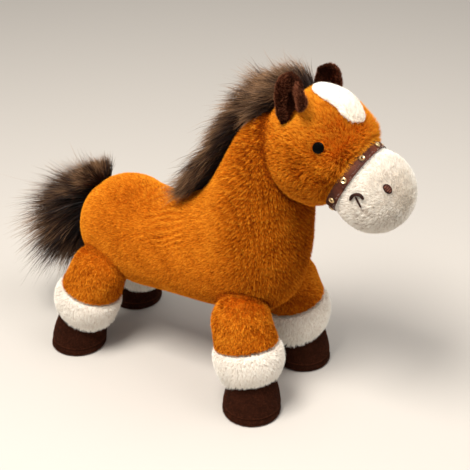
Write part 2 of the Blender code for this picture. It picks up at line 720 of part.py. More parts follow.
def build_mane(looks, root, cutters):
    path = crest_path()
    count = len(path)
    table = [(i / (count - 1), point.x, point.z) for i, point in enumerate(path)]
    rings = []
    for place in eased_places(LIMB_RINGS * 2):
        x, z = read_shares(table, place)
        x2, z2 = read_shares(table, min(1.0, place + 0.01))
        x1, z1 = read_shares(table, max(0.0, place - 0.01))
        ahead = Vector((x2 - x1, 0, z2 - z1)).normalized()
        out = Vector((-ahead.z, 0, ahead.x))
        size = math.sin(HALF_TURN * place) ** MANE_END_POWER if 0 < place < 1 else 0
        high = (MANE_HEIGHT + MANE_SINK) / 2 * size
        centre = Vector((x, 0, z)) + out * ((MANE_HEIGHT - MANE_SINK) / 2 * size)
        rings.append(oval(centre, out, Y_AXIS, high, MANE_WIDTH / 2 * math.sqrt(size), SMALL_SIDES + 4))
    mane = object_from(skin_rings(rings), "mane", looks["hair"], root)
    for cutter in cutters:
        cut(mane, cutter)
    return mane


def tail_root_place():
    """Where the tail is sewn: on the rump's round end at the root's height."""
    _, back_z, _, low_z, _ = BODY_SHAPE_SHARES[0]
    middle, half_high = (back_z + low_z) / 2 * BACK_HEIGHT, (back_z - low_z) / 2 * BACK_HEIGHT
    share = math.sqrt(1 - ((TAIL_ROOT_Z - middle) / half_high) ** 2)
    return Vector((-(BODY_LENGTH / 2 - RUMP_ROUND + RUMP_ROUND * share), 0, TAIL_ROOT_Z))


def build_tail(looks, root, body):
    pivot = empty_at("tail_joint", tail_root_place() - Vector((TAIL_ROOT_RADIUS / 2, 0, 0)), root)
    rings = []
    for place in eased_places(LIMB_RINGS * 2):
        z = -TAIL_ROOT_RADIUS + place * (TAIL_LENGTH + TAIL_ROOT_RADIUS)
        if z <= 0:
            r = math.sqrt(max(0.0, TAIL_ROOT_RADIUS**2 - z * z))
        else:
            r = TAIL_RADIUS * read_shares(TAIL_SHAPE_SHARES, z / TAIL_LENGTH)[0]
        centre = Vector((-TAIL_SAG * max(0.0, z) / TAIL_LENGTH, 0, z))
        if 0 < place < 1:
            rings.append(oval(centre, X_AXIS, Y_AXIS, r, r * TAIL_WIDTH_SHARE, LIMB_SIDES))
        else:
            rings.append([centre])
    tail = object_from(skin_rings(rings), "tail", looks["hair"], pivot)
    tail.rotation_euler = (0, math.radians(-90 - TAIL_DROOP_DEG), 0)
    dimple = turned(ball_profile(TAIL_ROOT_RADIUS + TURNING_GAP, 0, 180, LIMB_RINGS), SMALL_SIDES)
    cut(body, as_cutter(object_from(dimple, "tail_dimple", None, pivot)))
    return tail


def looks_of_pieces():
    return {
        "brown": material("caramel_plush", (0.42, 0.14, 0.03), 0.9),
        "white": material("white_plush", (0.85, 0.82, 0.78), 0.9),
        "chocolate": material("chocolate_plush", (0.05, 0.02, 0.012), 0.9),
        "hair": material("dark_long_pile", (0.06, 0.035, 0.025), 0.8),
        "leather": material("brown_band", (0.09, 0.035, 0.015), 0.5),
        "gold": material("pale_gold", (0.75, 0.55, 0.3), 0.3, 1.0),
        "black": material("black_bead", (0.005, 0.005, 0.005), 0.08),
        "thread": material("brown_thread", (0.12, 0.04, 0.02), 0.5),
    }


def main():
    clear_scene()
    looks = looks_of_pieces()
    root = empty_at("horse", Vector((0, 0, 0)))
    head = empty_at("head_joint", Vector((HEAD_X, 0, HEAD_Z)), root)
    droop = Matrix.Rotation(math.radians(HEAD_DROOP_DEG), 4, "Y")
    turn = Matrix.Rotation(math.radians(HEAD_TURN_DEG), 4, "Z")
    head.matrix_local = Matrix.Translation((HEAD_X, 0, HEAD_Z)) @ turn @ droop
    body, neck = build_torso(looks, root)
    for end_name in ENDS:
        for side_name in SIDES:
            build_leg(end_name, side_name, looks, root, (body, neck))
    skull = build_head(looks, head)
    skull_space = skull_room(head)
    cut(neck, skull_space)
    build_muzzle(looks, head)
    band = build_noseband(looks, head)
    build_eyelets(looks, head, band)
    build_eyes(looks, head, skull)
    build_nostrils(looks, head)
    build_smile(looks, head)
    build_blaze(looks, head)
    build_ears(looks, head, skull)
    whole = [body_ring(share, SEAM_GAP) for share in body_shares(0, 1, BODY_RINGS + LIMB_RINGS * 2)]
    torso_space = as_cutter(object_from(skin_rings(whole), "torso_room", None, root))
    build_mane(looks, root, (torso_space, skull_space))
    build_tail(looks, root, body)


main()
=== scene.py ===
# %% [markdown]
# # A plush foal, dressed over its stuffed forms
# The part's source gives this toy's solids: stuffed body, neck, head, legs, a noseband and eyes.
# This lesson gives them their looks: sewn cloth skins, short pile on all the plush, long pile for
# the mane and tail, and the small trim. Everything is in metres, with X forwards and Z up.

# %% Load the frame
import json
import math

import bpy
import numpy as np
from mathutils import Matrix, Vector
from mathutils.bvhtree import BVHTree
from mathutils.kdtree import KDTree


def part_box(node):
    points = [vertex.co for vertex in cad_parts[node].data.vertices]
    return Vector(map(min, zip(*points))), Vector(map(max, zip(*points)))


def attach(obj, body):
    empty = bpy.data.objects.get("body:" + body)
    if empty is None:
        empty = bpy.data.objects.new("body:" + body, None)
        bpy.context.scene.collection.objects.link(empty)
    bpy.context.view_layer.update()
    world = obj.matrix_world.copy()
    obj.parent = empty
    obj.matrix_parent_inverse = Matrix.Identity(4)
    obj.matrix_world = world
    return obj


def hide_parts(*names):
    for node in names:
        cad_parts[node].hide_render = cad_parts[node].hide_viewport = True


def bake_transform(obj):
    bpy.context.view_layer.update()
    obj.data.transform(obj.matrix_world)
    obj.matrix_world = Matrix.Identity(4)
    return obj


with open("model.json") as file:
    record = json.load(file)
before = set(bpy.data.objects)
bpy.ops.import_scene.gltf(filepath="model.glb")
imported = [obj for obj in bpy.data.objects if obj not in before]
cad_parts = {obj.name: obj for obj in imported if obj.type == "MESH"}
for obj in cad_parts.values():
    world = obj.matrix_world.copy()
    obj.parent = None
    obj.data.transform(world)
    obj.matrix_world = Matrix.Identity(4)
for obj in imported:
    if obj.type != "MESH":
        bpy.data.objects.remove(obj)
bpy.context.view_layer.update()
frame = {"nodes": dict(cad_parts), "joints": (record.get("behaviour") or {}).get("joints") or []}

joints = {joint["name"]: joint for joint in frame["joints"]}
print("pieces of the frame:", len(frame["nodes"]), "joints:", len(joints))

# %% [markdown]
# ## The camera
# The photograph looks down on the toy from its right and a little ahead. The camera's turn, height
# and lens were found by laying the solids over the photograph, so they are set here as they came out.

# %% Camera
CAMERA_AZIMUTH, CAMERA_ELEVATION = math.radians(32), math.radians(30)
CAMERA_TARGET = Vector((0.036, 0.0105, 0.12))
CAMERA_DISTANCE = 0.88
CAMERA_LENS, SENSOR_WIDTH, NEAREST_SEEN = 84.26, 36, 0.01


def add_camera():
    """A camera that looks at its target from an azimuth and an elevation."""
    ahead, aside = math.sin(CAMERA_AZIMUTH), math.cos(CAMERA_AZIMUTH)
    flat, high = math.cos(CAMERA_ELEVATION), math.sin(CAMERA_ELEVATION)
    back, right = Vector((ahead * flat, -aside * flat, high)), Vector((aside, ahead, 0))
    data = bpy.data.cameras.new("camera")
    data.lens, data.sensor_width, data.clip_start = CAMERA_LENS, SENSOR_WIDTH, NEAREST_SEEN
    camera = bpy.data.objects.new("camera", data)
    bpy.context.scene.collection.objects.link(camera)
    turned = Matrix((right, back.cross(right), back)).transposed().to_4x4()
    turned.translation = CAMERA_TARGET + back * CAMERA_DISTANCE
    camera.matrix_world = turned
    bpy.context.scene.camera = camera
    return camera


camera = add_camera()
print("camera at", [round(v, 3) for v in camera.location])

# %% [markdown]
# ## Materials
# All the plush is one idea: each hair is darker at its root, takes the pile's own colour along its
# length and ends in a paler tip, and tufts differ a little from each other. One node group does
# that from two numbers that every hair carries, `along` (0 at the root, 1 at the tip) and `tone`
# (its tuft's own shade plus the painted light and shade that each pile adds by place), so each
# pile only names its three colours.

# %% Pile colour group
def linear(hex_colour):
    """A colour as written in a paint program, turned to the linear values that shaders use."""
    parts = [int(hex_colour[i : i + 2], 16) / 255 for i in (0, 2, 4)]
    return (*(v / 12.92 if v <= 0.04045 else ((v + 0.055) / 1.055) ** 2.4 for v in parts), 1.0)


def new_material(name, specular):
    """A material, its node tree and its surface shader."""
    made = bpy.data.materials.new(name)
    made.use_nodes = True
    shader = made.node_tree.nodes["Principled BSDF"]
    shader.inputs["Specular IOR Level"].default_value = specular
    return made, made.node_tree, shader


def add_node(tree, kind, place, inputs=None, **settings):
    """A shader node with its settings, and values for the inputs that stay unlinked."""
    node = tree.nodes.new(kind)
    node.location = place
    for name, value in settings.items():
        setattr(node, name, value)
    for name, value in (inputs or {}).items():
        node.inputs[name].default_value = value
    return node


def noise_node(tree, place, **inputs):
    """Noise on the piece's own coordinates."""
    where = add_node(tree, "ShaderNodeTexCoord", (place[0] - 200, place[1]))
    noise = add_node(tree, "ShaderNodeTexNoise", place, inputs)
    tree.links.new(where.outputs["Object"], noise.inputs["Vector"])
    return noise


def pile_colour_group():
    """Colour along a hair from root to tip; a tuft's tone and soft patches slide it towards either end."""
    group = bpy.data.node_groups.new("pile_colour", "ShaderNodeTree")
    face = group.interface
    for name in ("Root", "Middle", "Tip"):
        face.new_socket(name, in_out="INPUT", socket_type="NodeSocketColor")
    for name in ("Tuft contrast", "Patch contrast", "Patch scale"):
        face.new_socket(name, in_out="INPUT", socket_type="NodeSocketFloat")
    face.new_socket("Color", in_out="OUTPUT", socket_type="NodeSocketColor")
    enter = add_node(group, "NodeGroupInput", (-1100, 0))
    leave = add_node(group, "NodeGroupOutput", (500, 0))
    along = add_node(group, "ShaderNodeAttribute", (-900, 300), attribute_name="along")
    tone = add_node(group, "ShaderNodeAttribute", (-900, -100), attribute_name="tone")
    patch = noise_node(group, (-900, -400), Detail=3)
    centred = add_node(group, "ShaderNodeMath", (-700, -400), {1: 0.5}, operation="SUBTRACT")
    tuft_part = add_node(group, "ShaderNodeMath", (-700, 100), operation="MULTIPLY_ADD")
    total = add_node(group, "ShaderNodeMath", (-500, 0), operation="MULTIPLY_ADD")
    low = add_node(group, "ShaderNodeMapRange", (-300, 250), {"From Max": 0.5})
    high = add_node(group, "ShaderNodeMapRange", (-300, -50), {"From Min": 0.5})
    lower = add_node(group, "ShaderNodeMix", (-50, 250), data_type="RGBA")
    upper = add_node(group, "ShaderNodeMix", (200, 100), data_type="RGBA")
    link = group.links.new
    link(enter.outputs["Patch scale"], patch.inputs["Scale"])
    link(patch.outputs["Fac"], centred.inputs[0])
    link(tone.outputs["Fac"], tuft_part.inputs[0])
    link(enter.outputs["Tuft contrast"], tuft_part.inputs[1])
    link(along.outputs["Fac"], tuft_part.inputs[2])
    link(centred.outputs[0], total.inputs[0])
    link(enter.outputs["Patch contrast"], total.inputs[1])
    link(tuft_part.outputs[0], total.inputs[2])
    link(total.outputs[0], low.inputs["Value"])
    link(total.outputs[0], high.inputs["Value"])
    link(low.outputs["Result"], lower.inputs["Factor"])
    link(enter.outputs["Root"], lower.inputs["A"])
    link(enter.outputs["Middle"], lower.inputs["B"])
    link(high.outputs["Result"], upper.inputs["Factor"])
    link(lower.outputs["Result"], upper.inputs["A"])
    link(enter.outputs["Tip"], upper.inputs["B"])
    link(upper.outputs["Result"], leave.inputs["Color"])
    return group


PILE_COLOUR = pile_colour_group()


def pile_material(name, root, middle, tip, tuft, patch, scale, roughness=0.75, specular=0.05):
    """A pile from its three colours, how much tufts and patches differ, and how fine the patches are."""
    made, tree, shader = new_material(name, specular)
    shader.inputs["Roughness"].default_value = roughness
    values = {"Root": linear(root), "Middle": linear(middle), "Tip": linear(tip),
              "Tuft contrast": tuft, "Patch contrast": patch, "Patch scale": scale}
    colour = add_node(tree, "ShaderNodeGroup", (-300, 0), values, node_tree=PILE_COLOUR)
    tree.links.new(colour.outputs["Color"], shader.inputs["Base Color"])
    return made


CARAMEL = pile_material("caramel_pile", "7a2f04", "d06a09", "f2a028", 0.18, 0.55, 55.0)
WHITE = pile_material("white_pile", "d8cbbe", "faf3e9", "fefaf2", 0.25, 0.3, 60.0)
CHOCOLATE = pile_material("chocolate_nap", "180a05", "35180c", "5e3220", 0.2, 0.4, 70.0)
EAR_RIM = pile_material("ear_rim_nap", "2a1109", "74402a", "a0644a", 0.2, 0.3, 80.0)
LONG_DARK = pile_material("long_dark_pile", "080302", "2e1a10", "b48a64", 0.2, 0.3, 40.0, 0.5, 0.2)
print("pile materials ready")

# %% [markdown]
# ## Skins
# Each stuffed piece of the toy is a cloth shell. The pile stands on that shell, so the shell lies
# a little inside the stuffed form that the frame gives. A copy of the form is merged, remeshed
# evenly and drawn in along its normals, so that the hairs have an even ground to grow from.

# %% Skin helpers
SKIN_ALONG = 0.32
DOUBLES_WITHIN = 1e-6


def only(*objects):
    """Selects these objects and no others, with the first one active."""
    bpy.ops.object.select_all(action="DESELECT")
    for item in objects:
        item.select_set(True)
    bpy.context.view_layer.objects.active = objects[0]


def settle(*objects):
    """Selects objects and applies their own place, turn and size."""
    only(*objects)
    bpy.ops.object.transform_apply(location=True, rotation=True, scale=True)


def edited(piece, *steps, chosen=None):
    """Runs steps in edit mode on all of a piece, or on the points that `chosen` picks."""
    only(piece)
    bpy.ops.object.mode_set(mode="EDIT")
    bpy.ops.mesh.select_all(action="DESELECT" if chosen else "SELECT")
    if chosen:
        bpy.ops.object.mode_set(mode="OBJECT")
        for vertex in piece.data.vertices:
            vertex.select = chosen(vertex)
        bpy.ops.object.mode_set(mode="EDIT")
    for step in steps:
        step()
    bpy.ops.object.mode_set(mode="OBJECT")


def modified(piece, kind, **settings):
    """Adds a modifier with its settings to the active piece and applies it."""
    step = piece.modifiers.new(kind.lower(), kind)
    for name, value in settings.items():
        setattr(step, name, value)
    bpy.ops.object.modifier_apply(modifier=step.name)


def faces_out():
    """Turns the chosen faces outwards."""
    bpy.ops.mesh.normals_make_consistent(inside=False)


def copy_of(nodes, name):
    """One mesh object from copies of the frame's nodes, with their doubles merged."""
    copies = []
    for node in nodes:
        made = frame["nodes"][node].copy()
        made.data = made.data.copy()
        made.parent = None
        for key in list(made.keys()):
            del made[key]
        made.data.materials.clear()
        bpy.context.scene.collection.objects.link(made)
        made.hide_render = made.hide_viewport = False
        copies.append(made)
    only(*copies)
    if len(copies) > 1:
        bpy.ops.object.join()
    made = bpy.context.view_layer.objects.active
    made.name = made.data.name = name
    edited(made, lambda: bpy.ops.mesh.remove_doubles(threshold=DOUBLES_WITHIN))
    return made


def add_ball(name, centre, radius, squash=(1, 1, 1)):
    """A ball, squashed along its axes if need be."""
    bpy.ops.mesh.primitive_uv_sphere_add(segments=32, ring_count=20, radius=radius, location=centre)
    made = bpy.context.view_layer.objects.active
    made.name = name
    made.scale = squash
    settle(made)
    return made


def remesh(piece, voxel, inset, smoothing):
    """Joins overlapping shells to one even skin, draws it in and smooths it."""
    only(piece)
    piece.data.remesh_voxel_size = voxel
    bpy.ops.object.voxel_remesh()
    if inset:
        modified(piece, "DISPLACE", mid_level=0, strength=-inset)
    modified(piece, "SMOOTH", factor=0.5, iterations=smoothing)
    bpy.ops.object.shade_smooth()
    return piece


def pull_points(piece, chosen, way, reach):
    """Moves the points whose places `chosen` picks, and their neighbours follow within `reach`."""

    def move():
        bpy.ops.transform.translate(value=way, use_proportional_edit=True, proportional_size=reach,
                                    proportional_edit_falloff="SMOOTH")

    edited(piece, move, chosen=lambda vertex: chosen(vertex.co))


def write_values(mesh, name, values):
    layer = mesh.attributes.new(name, "FLOAT", "POINT")
    layer.data.foreach_set("value", values.astype(np.float32))


def cover(piece, material):
    """Gives a piece one material and no other."""
    piece.data.materials.clear()
    piece.data.materials.append(material)


def dress(piece, material, body, replaced=()):
    """Gives a finished piece its material and the body it rides on, and hides the frame's pieces that it
    replaces. Cloth under pile takes the colour that the pile has at the share SKIN_ALONG of its height."""
    write_values(piece.data, "along", np.full(len(piece.data.vertices), SKIN_ALONG))
    cover(piece, material)
    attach(piece, body)
    if replaced:
        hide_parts(*replaced)
    return piece


# %% [markdown]
# ## Growing pile
# Blender's own hair isn't kept by the export, so each hair here is a narrow tapering blade of mesh.
# Roots are spread evenly over a skin, each hair leans along a combing direction, and hairs in one
# tuft share a small turn of their own and draw together at their tips, as plush does when handled.

# %% Pile helpers
MOST_TRIANGLES, MOST_HAIRS = 190000, 90000
NOISE_WAVES, NOISE_TURN, NOISE_SPAN = 7, 6.28, 3.2
CREASE_REACH = 0.0026
BLADE_END, CELL_MARGIN, CELL_FILLED = 0.45, 0.08, 0.84
SQUARE_MM, ROOT_DEPTH = 1e6, 0.0003
# How far a tuft and a hair may lean, in radians from upright
LEAST_LEAN, TUFT_LEAN, HAIR_LEAN = 0.05, 1.45, 1.5


def unit(v):
    return v / np.maximum(np.linalg.norm(v, axis=-1, keepdims=True), 1e-9)


def ease(x, low, high):
    """0 below `low`, 1 above `high` and smooth between."""
    t = np.clip((x - low) / (high - low), 0, 1)
    return t * t * (3 - 2 * t)


def fall(x, low, high):
    """1 below `low`, 0 above `high` and smooth between."""
    return ease(-x, -high, -low)


def bell(away, reach):
    """1 at no distance, and next to nothing at twice `reach`."""
    return np.exp(-((away / reach) ** 2))


def off(points, spot):
    """How far points lie from a spot."""
    return np.linalg.norm(points - spot, axis=1)


def middle_of(node):
    """The middle of the box round one of the frame's nodes."""
    return np.array(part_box(node)).mean(axis=0)


def soft_noise(points, scale, seed):
    """Smooth noise in about -1 to 1 that changes over `scale` metres."""
    draw = np.random.default_rng(seed)
    total = np.zeros(len(points))
    for _ in range(NOISE_WAVES):
        way = unit(draw.normal(size=3))
        pace, start = draw.uniform(0.6, 1.5), draw.uniform(0, NOISE_TURN)
        total += np.sin(points @ way * (2 * math.pi / scale) * pace + start)
    return total / NOISE_SPAN


def of_points(mesh, what):
    """The places ("co") or the normals ("normal") of a mesh's points, one row for each."""
    values = np.empty(len(mesh.vertices) * 3)
    mesh.vertices.foreach_get(what, values)
    return values.reshape(-1, 3)


def ground_of(piece):
    """Corner places, corner normals and areas of a piece's triangles."""
    mesh = piece.data
    mesh.calc_loop_triangles()
    corners = np.empty(len(mesh.loop_triangles) * 3, np.int32)
    mesh.loop_triangles.foreach_get("vertices", corners)
    corners = corners.reshape(-1, 3)
    places, normals = of_points(mesh, "co")[corners], of_points(mesh, "normal")[corners]
    areas = np.linalg.norm(np.cross(places[:, 1] - places[:, 0], places[:, 2] - places[:, 0]), axis=1) / 2
    return places, normals, areas


def everywhere(points, normals):
    """Keeps pile on the whole skin."""
    return np.ones(len(points))


def kept_areas(ground, keep):
    """The areas of the ground's triangles, times the share of each that `keep` gives to the pile."""
    places, normals, areas = ground
    return areas * keep(places.mean(axis=1), unit(normals.mean(axis=1)))


def scatter(ground, count, draw, keep):
    """Root places spread by area over the ground that `keep` gives, and the normals there."""
    places, normals, _ = ground
    running = np.cumsum(kept_areas(ground, keep))
    spots = (np.arange(count) + draw.random(count)) / count * running[-1]
    chosen = np.searchsorted(running, spots).clip(0, len(running) - 1)
    a, b = draw.random(count), draw.random(count)
    over = a + b > 1
    a[over], b[over] = 1 - a[over], 1 - b[over]
    share = np.stack([1 - a - b, a, b], axis=1)[:, :, None]
    return (places[chosen] * share).sum(axis=1), unit((normals[chosen] * share).sum(axis=1))


def turn_about(v, axis, angle):
    """Turns vectors about unit axes by angles."""
    c, s = np.cos(angle)[:, None], np.sin(angle)[:, None]
    return v * c + np.cross(axis, v) * s + axis * (v * axis).sum(axis=1, keepdims=True) * (1 - c)


def laid(comb, points, normals):
    """The comb's way at each point, laid flat on the skin."""
    way = comb(points, normals)
    return unit(way - normals * (way * normals).sum(axis=1, keepdims=True))


def evenly(value):
    """A measure that is the same everywhere."""
    return lambda points: np.full(len(points), value)


def comb_to(x, y, z):
    """A comb that goes the same way everywhere."""
    return lambda points, normals: np.tile([x, y, z], (len(points), 1))


def by_nodes(nodes):
    """A measure of how near points lie to some of the frame's solids: 1 on them and 0 well off them."""
    places, faces = [], []
    for node in nodes:
        mesh = frame["nodes"][node].data
        faces += [[len(places) + index for index in polygon.vertices] for polygon in mesh.polygons]
        places += [vertex.co.copy() for vertex in mesh.vertices]
    tree = BVHTree.FromPolygons(places, faces)
    far = CREASE_REACH * 3

    def measure(points):
        found = [tree.find_nearest(point, far)[3] for point in points]
        return bell(np.array([far if away is None else away for away in found]), CREASE_REACH)

    return measure


def nearest(points, centres):
    tree = KDTree(len(centres))
    for i, centre in enumerate(centres):
        tree.insert(centre, i)
    tree.balance()
    return np.array([tree.find(point)[1] for point in points])


def blades(name, spines, sides, widths, tones, material):
    """Mesh blades along spines of shape (hair, step, 3), each one quad a step and a pointed tip."""
    count, steps = spines.shape[0], spines.shape[1] - 1
    most = min(MOST_TRIANGLES // (2 * steps - 1), MOST_HAIRS)
    chunks = math.ceil(count / most)
    order = np.argsort(spines[:, 0, 0] if chunks > 1 else np.arange(count), kind="stable")
    made = []
    for index, part in enumerate(np.array_split(order, chunks)):
        label = name if chunks == 1 else f"{name}_{index + 1}"
        made.append(blade_mesh(label, spines[part], sides[part], widths[part], tones[part], material))
    return made


def blade_mesh(name, spines, sides, widths, tones, material):
    """One mesh of blades, with the height along each and its tone as attributes."""
    count, steps = spines.shape[0], spines.shape[1] - 1
    per = 2 * steps + 1
    taper = np.linspace(1, BLADE_END, steps)[None, :, None]
    reach = sides[:, None, :] * (widths[:, None, None] / 2) * taper
    verts = np.empty((count, per, 3))
    verts[:, 0 : 2 * steps : 2] = spines[:, :steps] - reach
    verts[:, 1 : 2 * steps : 2] = spines[:, :steps] + reach
    verts[:, -1] = spines[:, -1]
    quads = [(low, low + 1, low + 3, low + 2) for low in range(0, 2 * steps - 2, 2)]
    corners = np.array([v for quad in quads for v in quad] + [per - 3, per - 2, per - 1])
    starts = np.arange(0, len(quads) * 4 + 1, 4)
    offsets = (np.arange(count) * per)[:, None]
    loops = (corners[None, :] + offsets).ravel().astype(np.int32)
    loop_starts = (starts[None, :] + (np.arange(count) * len(corners))[:, None]).ravel().astype(np.int32)
    mesh = bpy.data.meshes.new(name)
    mesh.vertices.add(count * per)
    mesh.vertices.foreach_set("co", verts.astype(np.float32).ravel())
    mesh.loops.add(len(loops))
    mesh.loops.foreach_set("vertex_index", loops)
    mesh.polygons.add(len(loop_starts))
    mesh.polygons.foreach_set("loop_start", loop_starts)
    mesh.update(calc_edges=True)
    heights = np.append(np.repeat(np.arange(steps) / steps, 2), 1.0)
    write_values(mesh, "along", np.tile(heights, count))
    write_values(mesh, "tone", np.repeat(tones, per))
    across = np.append(np.tile([0.15, 0.85], steps), 0.5)
    write_cells(mesh, count, across, heights, corners)
    mesh.materials.append(material)
    mesh.shade_smooth()
    made = bpy.data.objects.new(name, mesh)
    bpy.context.scene.collection.objects.link(made)
    return made


def write_cells(mesh, count, across, heights, corners):
    """A map where every hair has a cell of its own, for baking."""
    rows = math.ceil(math.sqrt(count))
    cell = np.arange(count)
    u = ((cell % rows)[:, None] + across[None, corners]) / rows
    v = ((cell // rows)[:, None] + CELL_MARGIN + CELL_FILLED * heights[None, corners]) / rows
    layer = mesh.uv_layers.new(name="OFBake")
    layer.data.foreach_set("uv", np.stack([u, v], axis=-1).astype(np.float32).ravel())


def tuft_play(centres, scale, seed, draw):
    """A number for each tuft, partly a drift over `scale` metres and partly chance."""
    return 0.8 * soft_noise(centres, scale, seed) + 0.6 * draw.normal(size=len(centres))


def grow(name, piece, material, comb, length, density, seed, *, body, lean, tuft=1.4, pull=0.3,
         width=0.00032, steps=1, turn=14, ruffle=8, keep=everywhere, lift=evenly(0.0),
         clump=evenly(0.0), shade=evenly(0.0)):
    """Short pile on a skin. `comb` gives the way it lies and `length` its height in metres; by place,
    `lift` stands it up by so many degrees, `clump` draws tufts together and `shade` slides its colour."""
    draw = np.random.default_rng(seed)
    ground = ground_of(piece)
    area = kept_areas(ground, keep).sum() * SQUARE_MM
    count, tufts = int(area * density), max(8, int(area / tuft**2))
    roots, normals = scatter(ground, count, draw, keep)
    centres, centre_normals = scatter(ground, tufts, draw, keep)
    whose = nearest(roots, centres)
    way, centre_way = laid(comb, roots, normals), laid(comb, centres, centre_normals)
    tuft_turn = np.radians(turn) * tuft_play(centres, 0.016, seed + 1, draw)
    tuft_lean = lean + ruffle * tuft_play(centres, 0.012, seed + 2, draw)
    tuft_lean = np.radians(tuft_lean - lift(centres)).clip(LEAST_LEAN, TUFT_LEAN)
    way = turn_about(way, normals, tuft_turn[whose] + np.radians(turn * 0.5) * draw.normal(size=count))
    centre_way = turn_about(centre_way, centre_normals, tuft_turn)
    tilt = tuft_lean[whose] + np.radians(ruffle * 0.8) * draw.normal(size=count)
    tilt = tilt.clip(LEAST_LEAN, HAIR_LEAN)
    tall = length(roots) * draw.uniform(0.75, 1.15, count)
    lie = centre_normals * np.cos(tuft_lean)[:, None] + centre_way * np.sin(tuft_lean)[:, None]
    point = centres + lie * length(centres)[:, None]
    places, gather = [roots - normals * ROOT_DEPTH], (pull + clump(roots))[:, None]
    for step in range(1, steps + 1):
        share = step / steps
        bend = tilt * (0.55 + 0.45 * share)
        reach = normals * np.cos(bend)[:, None] + way * np.sin(bend)[:, None]
        place = roots + reach * (tall * share)[:, None]
        places.append(place + (point[whose] - place) * gather * share**2)
    spines = np.stack(places, axis=1)
    lie = unit(spines[:, -1] - spines[:, 0])
    sides = turn_about(unit(np.cross(normals, lie)), lie, draw.normal(size=count) * 0.6)
    tones = (draw.normal(size=tufts) * 0.6).clip(-1.5, 1.5)[whose] + draw.normal(size=count) * 0.5
    made = blades(name, spines, sides, width * draw.uniform(0.7, 1.3, count), tones + shade(roots), material)
    for item in made:
        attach(item, body)
    print(name, "hairs", count, "tufts", tufts)
    return made


# %% [markdown]
# ## The stuffed body and neck
# On the real toy the barrel, shoulder and neck are panels of one short plush, sewn together and
# stuffed, so no line shows between them. The frame's body and neck are joined with balls where the
# legs and the head turn, and remeshed to one skin. The balls stay hidden under the legs and head.
# One more ball fills the rump's upper corner, where the stuffing is packed hardest.

# %% Body skin
PILE_INSET = 0.0020
HEAD_JOINT = Vector(joints["head_nod"]["pos_m"])
HEAD_MIDDLE = np.array(HEAD_JOINT)
OUT = {"left": 1, "right": -1}
LEGS = [f"{end}_{side}" for end in ("front", "rear") for side in OUT]
HIPS = {tag: np.array(joints[f"leg_{tag}_swing"]["pos_m"]) for tag in LEGS}
HIP_BALL, SKULL_BALL, SKULL_SQUASH = 0.0235, 0.0400, (1, 0.9, 1)
HIDDEN_AT_HIP, HIDDEN_AT_HEAD = 0.0215, 0.037
RUMP_BALL, RUMP_MIDDLE = 0.0432, (-0.0602, 0, 0.1074)


def build_body_skin():
    whole = copy_of(["body", "neck"], "body_skin")
    balls = [add_ball("hip_ball", hip, HIP_BALL) for hip in HIPS.values()]
    balls.append(add_ball("skull_ball", HEAD_JOINT, SKULL_BALL, SKULL_SQUASH))
    balls.append(add_ball("rump_ball", RUMP_MIDDLE, RUMP_BALL))
    only(whole, *balls)
    bpy.ops.object.join()
    return remesh(whole, voxel=0.0025, inset=PILE_INSET, smoothing=8)


body_skin = build_body_skin()
dress(body_skin, CARAMEL, "torso", ("body", "neck"))
print("body skin triangles", len(body_skin.data.loop_triangles))

# %% [markdown]
# ## Combing
# Pile has a lie: on this toy it runs back along the barrel and down the flank, straight down the
# neck and chest and down the legs. The way is given by place, and each hair follows its own spot.

# %% Comb directions
NECK_RISE, CHEST_START, CHEEK_DROOP = (0.125, 0.175), (0.055, 0.085), (-0.025, 0.015)
# The pile rises over the noseband's edges from the first of these distances off them to the others
LAP_START, LAP_REAR, LAP_FRONT = 0.0045, 0.0015, 0.0005


def comb_body(points, normals):
    """Back and down along the barrel, and nearly straight down on the neck and the chest."""
    up_neck = ease(points[:, 2], *NECK_RISE)[:, None]
    chest = ease(points[:, 0], *CHEST_START)[:, None]
    barrel, neck, front = np.array([[-1.0, 0, -0.6], [-0.35, 0, -1.0], [0.05, 0, -1.0]])
    return (barrel * (1 - up_neck) + neck * up_neck) * (1 - chest) + front * chest


comb_down, comb_up = comb_to(0.0, 0.0, -1.0), comb_to(0.0, 0.0, 1.0)

HEAD_SIDE = joints["head_nod"]["axis"]
SNOUT_END, BAND_WIDTH = 0.0345, 0.0076
BAND_REAR, BAND_FRONT = SNOUT_END - BAND_WIDTH / 2, SNOUT_END + BAND_WIDTH / 2
HEAD_DROOP, HEAD_TURNED = math.radians(25.5), math.atan2(-HEAD_SIDE[0], HEAD_SIDE[1])
HEAD_TURN = Matrix.Rotation(HEAD_TURNED, 4, "Z") @ Matrix.Rotation(HEAD_DROOP, 4, "Y")
HEAD_FRAME = Matrix.Translation(HEAD_JOINT) @ HEAD_TURN
HEAD_AXES = np.array(HEAD_TURN.to_3x3())


def head_way(x, y, z):
    """A way given in the head's own axes."""
    return HEAD_TURN.to_3x3() @ Vector((x, y, z))


def in_head(points):
    """Places in the head's own axes: X out along the snout, Z up through the poll."""
    return (points - HEAD_MIDDLE) @ HEAD_AXES


def by_rear_edge(points):
    """1 next to the noseband's rear edge, where the head's pile laps over it."""
    return ease(in_head(points)[:, 0], BAND_REAR - LAP_START, BAND_REAR - LAP_REAR)


def comb_head(points, normals):
    """Back from the noseband and a little down over the cheeks, but forwards at the band's own edge."""
    way = np.tile([-1.0, 0.0, -0.25], (len(points), 1))
    way[:, 0] += 2.2 * by_rear_edge(points)
    way[:, 2] -= 0.7 * fall(in_head(points)[:, 2], *CHEEK_DROOP)
    return way @ HEAD_AXES.T


def comb_muzzle(points, normals):
    """Back towards the noseband and a little down."""
    return np.tile([-1.0, 0.0, -0.35], (len(points), 1)) @ HEAD_AXES.T


# %% Body pile
CREST_HALF_WIDTH = 0.0095
MANE_END, MANE_END_SHARE, MANE_END_LENGTH = 0.020, 0.7, 0.028
STROKE_WAVE, STROKE_SLANT, STROKE_DRIFT = 0.0044, 0.42, 0.0012
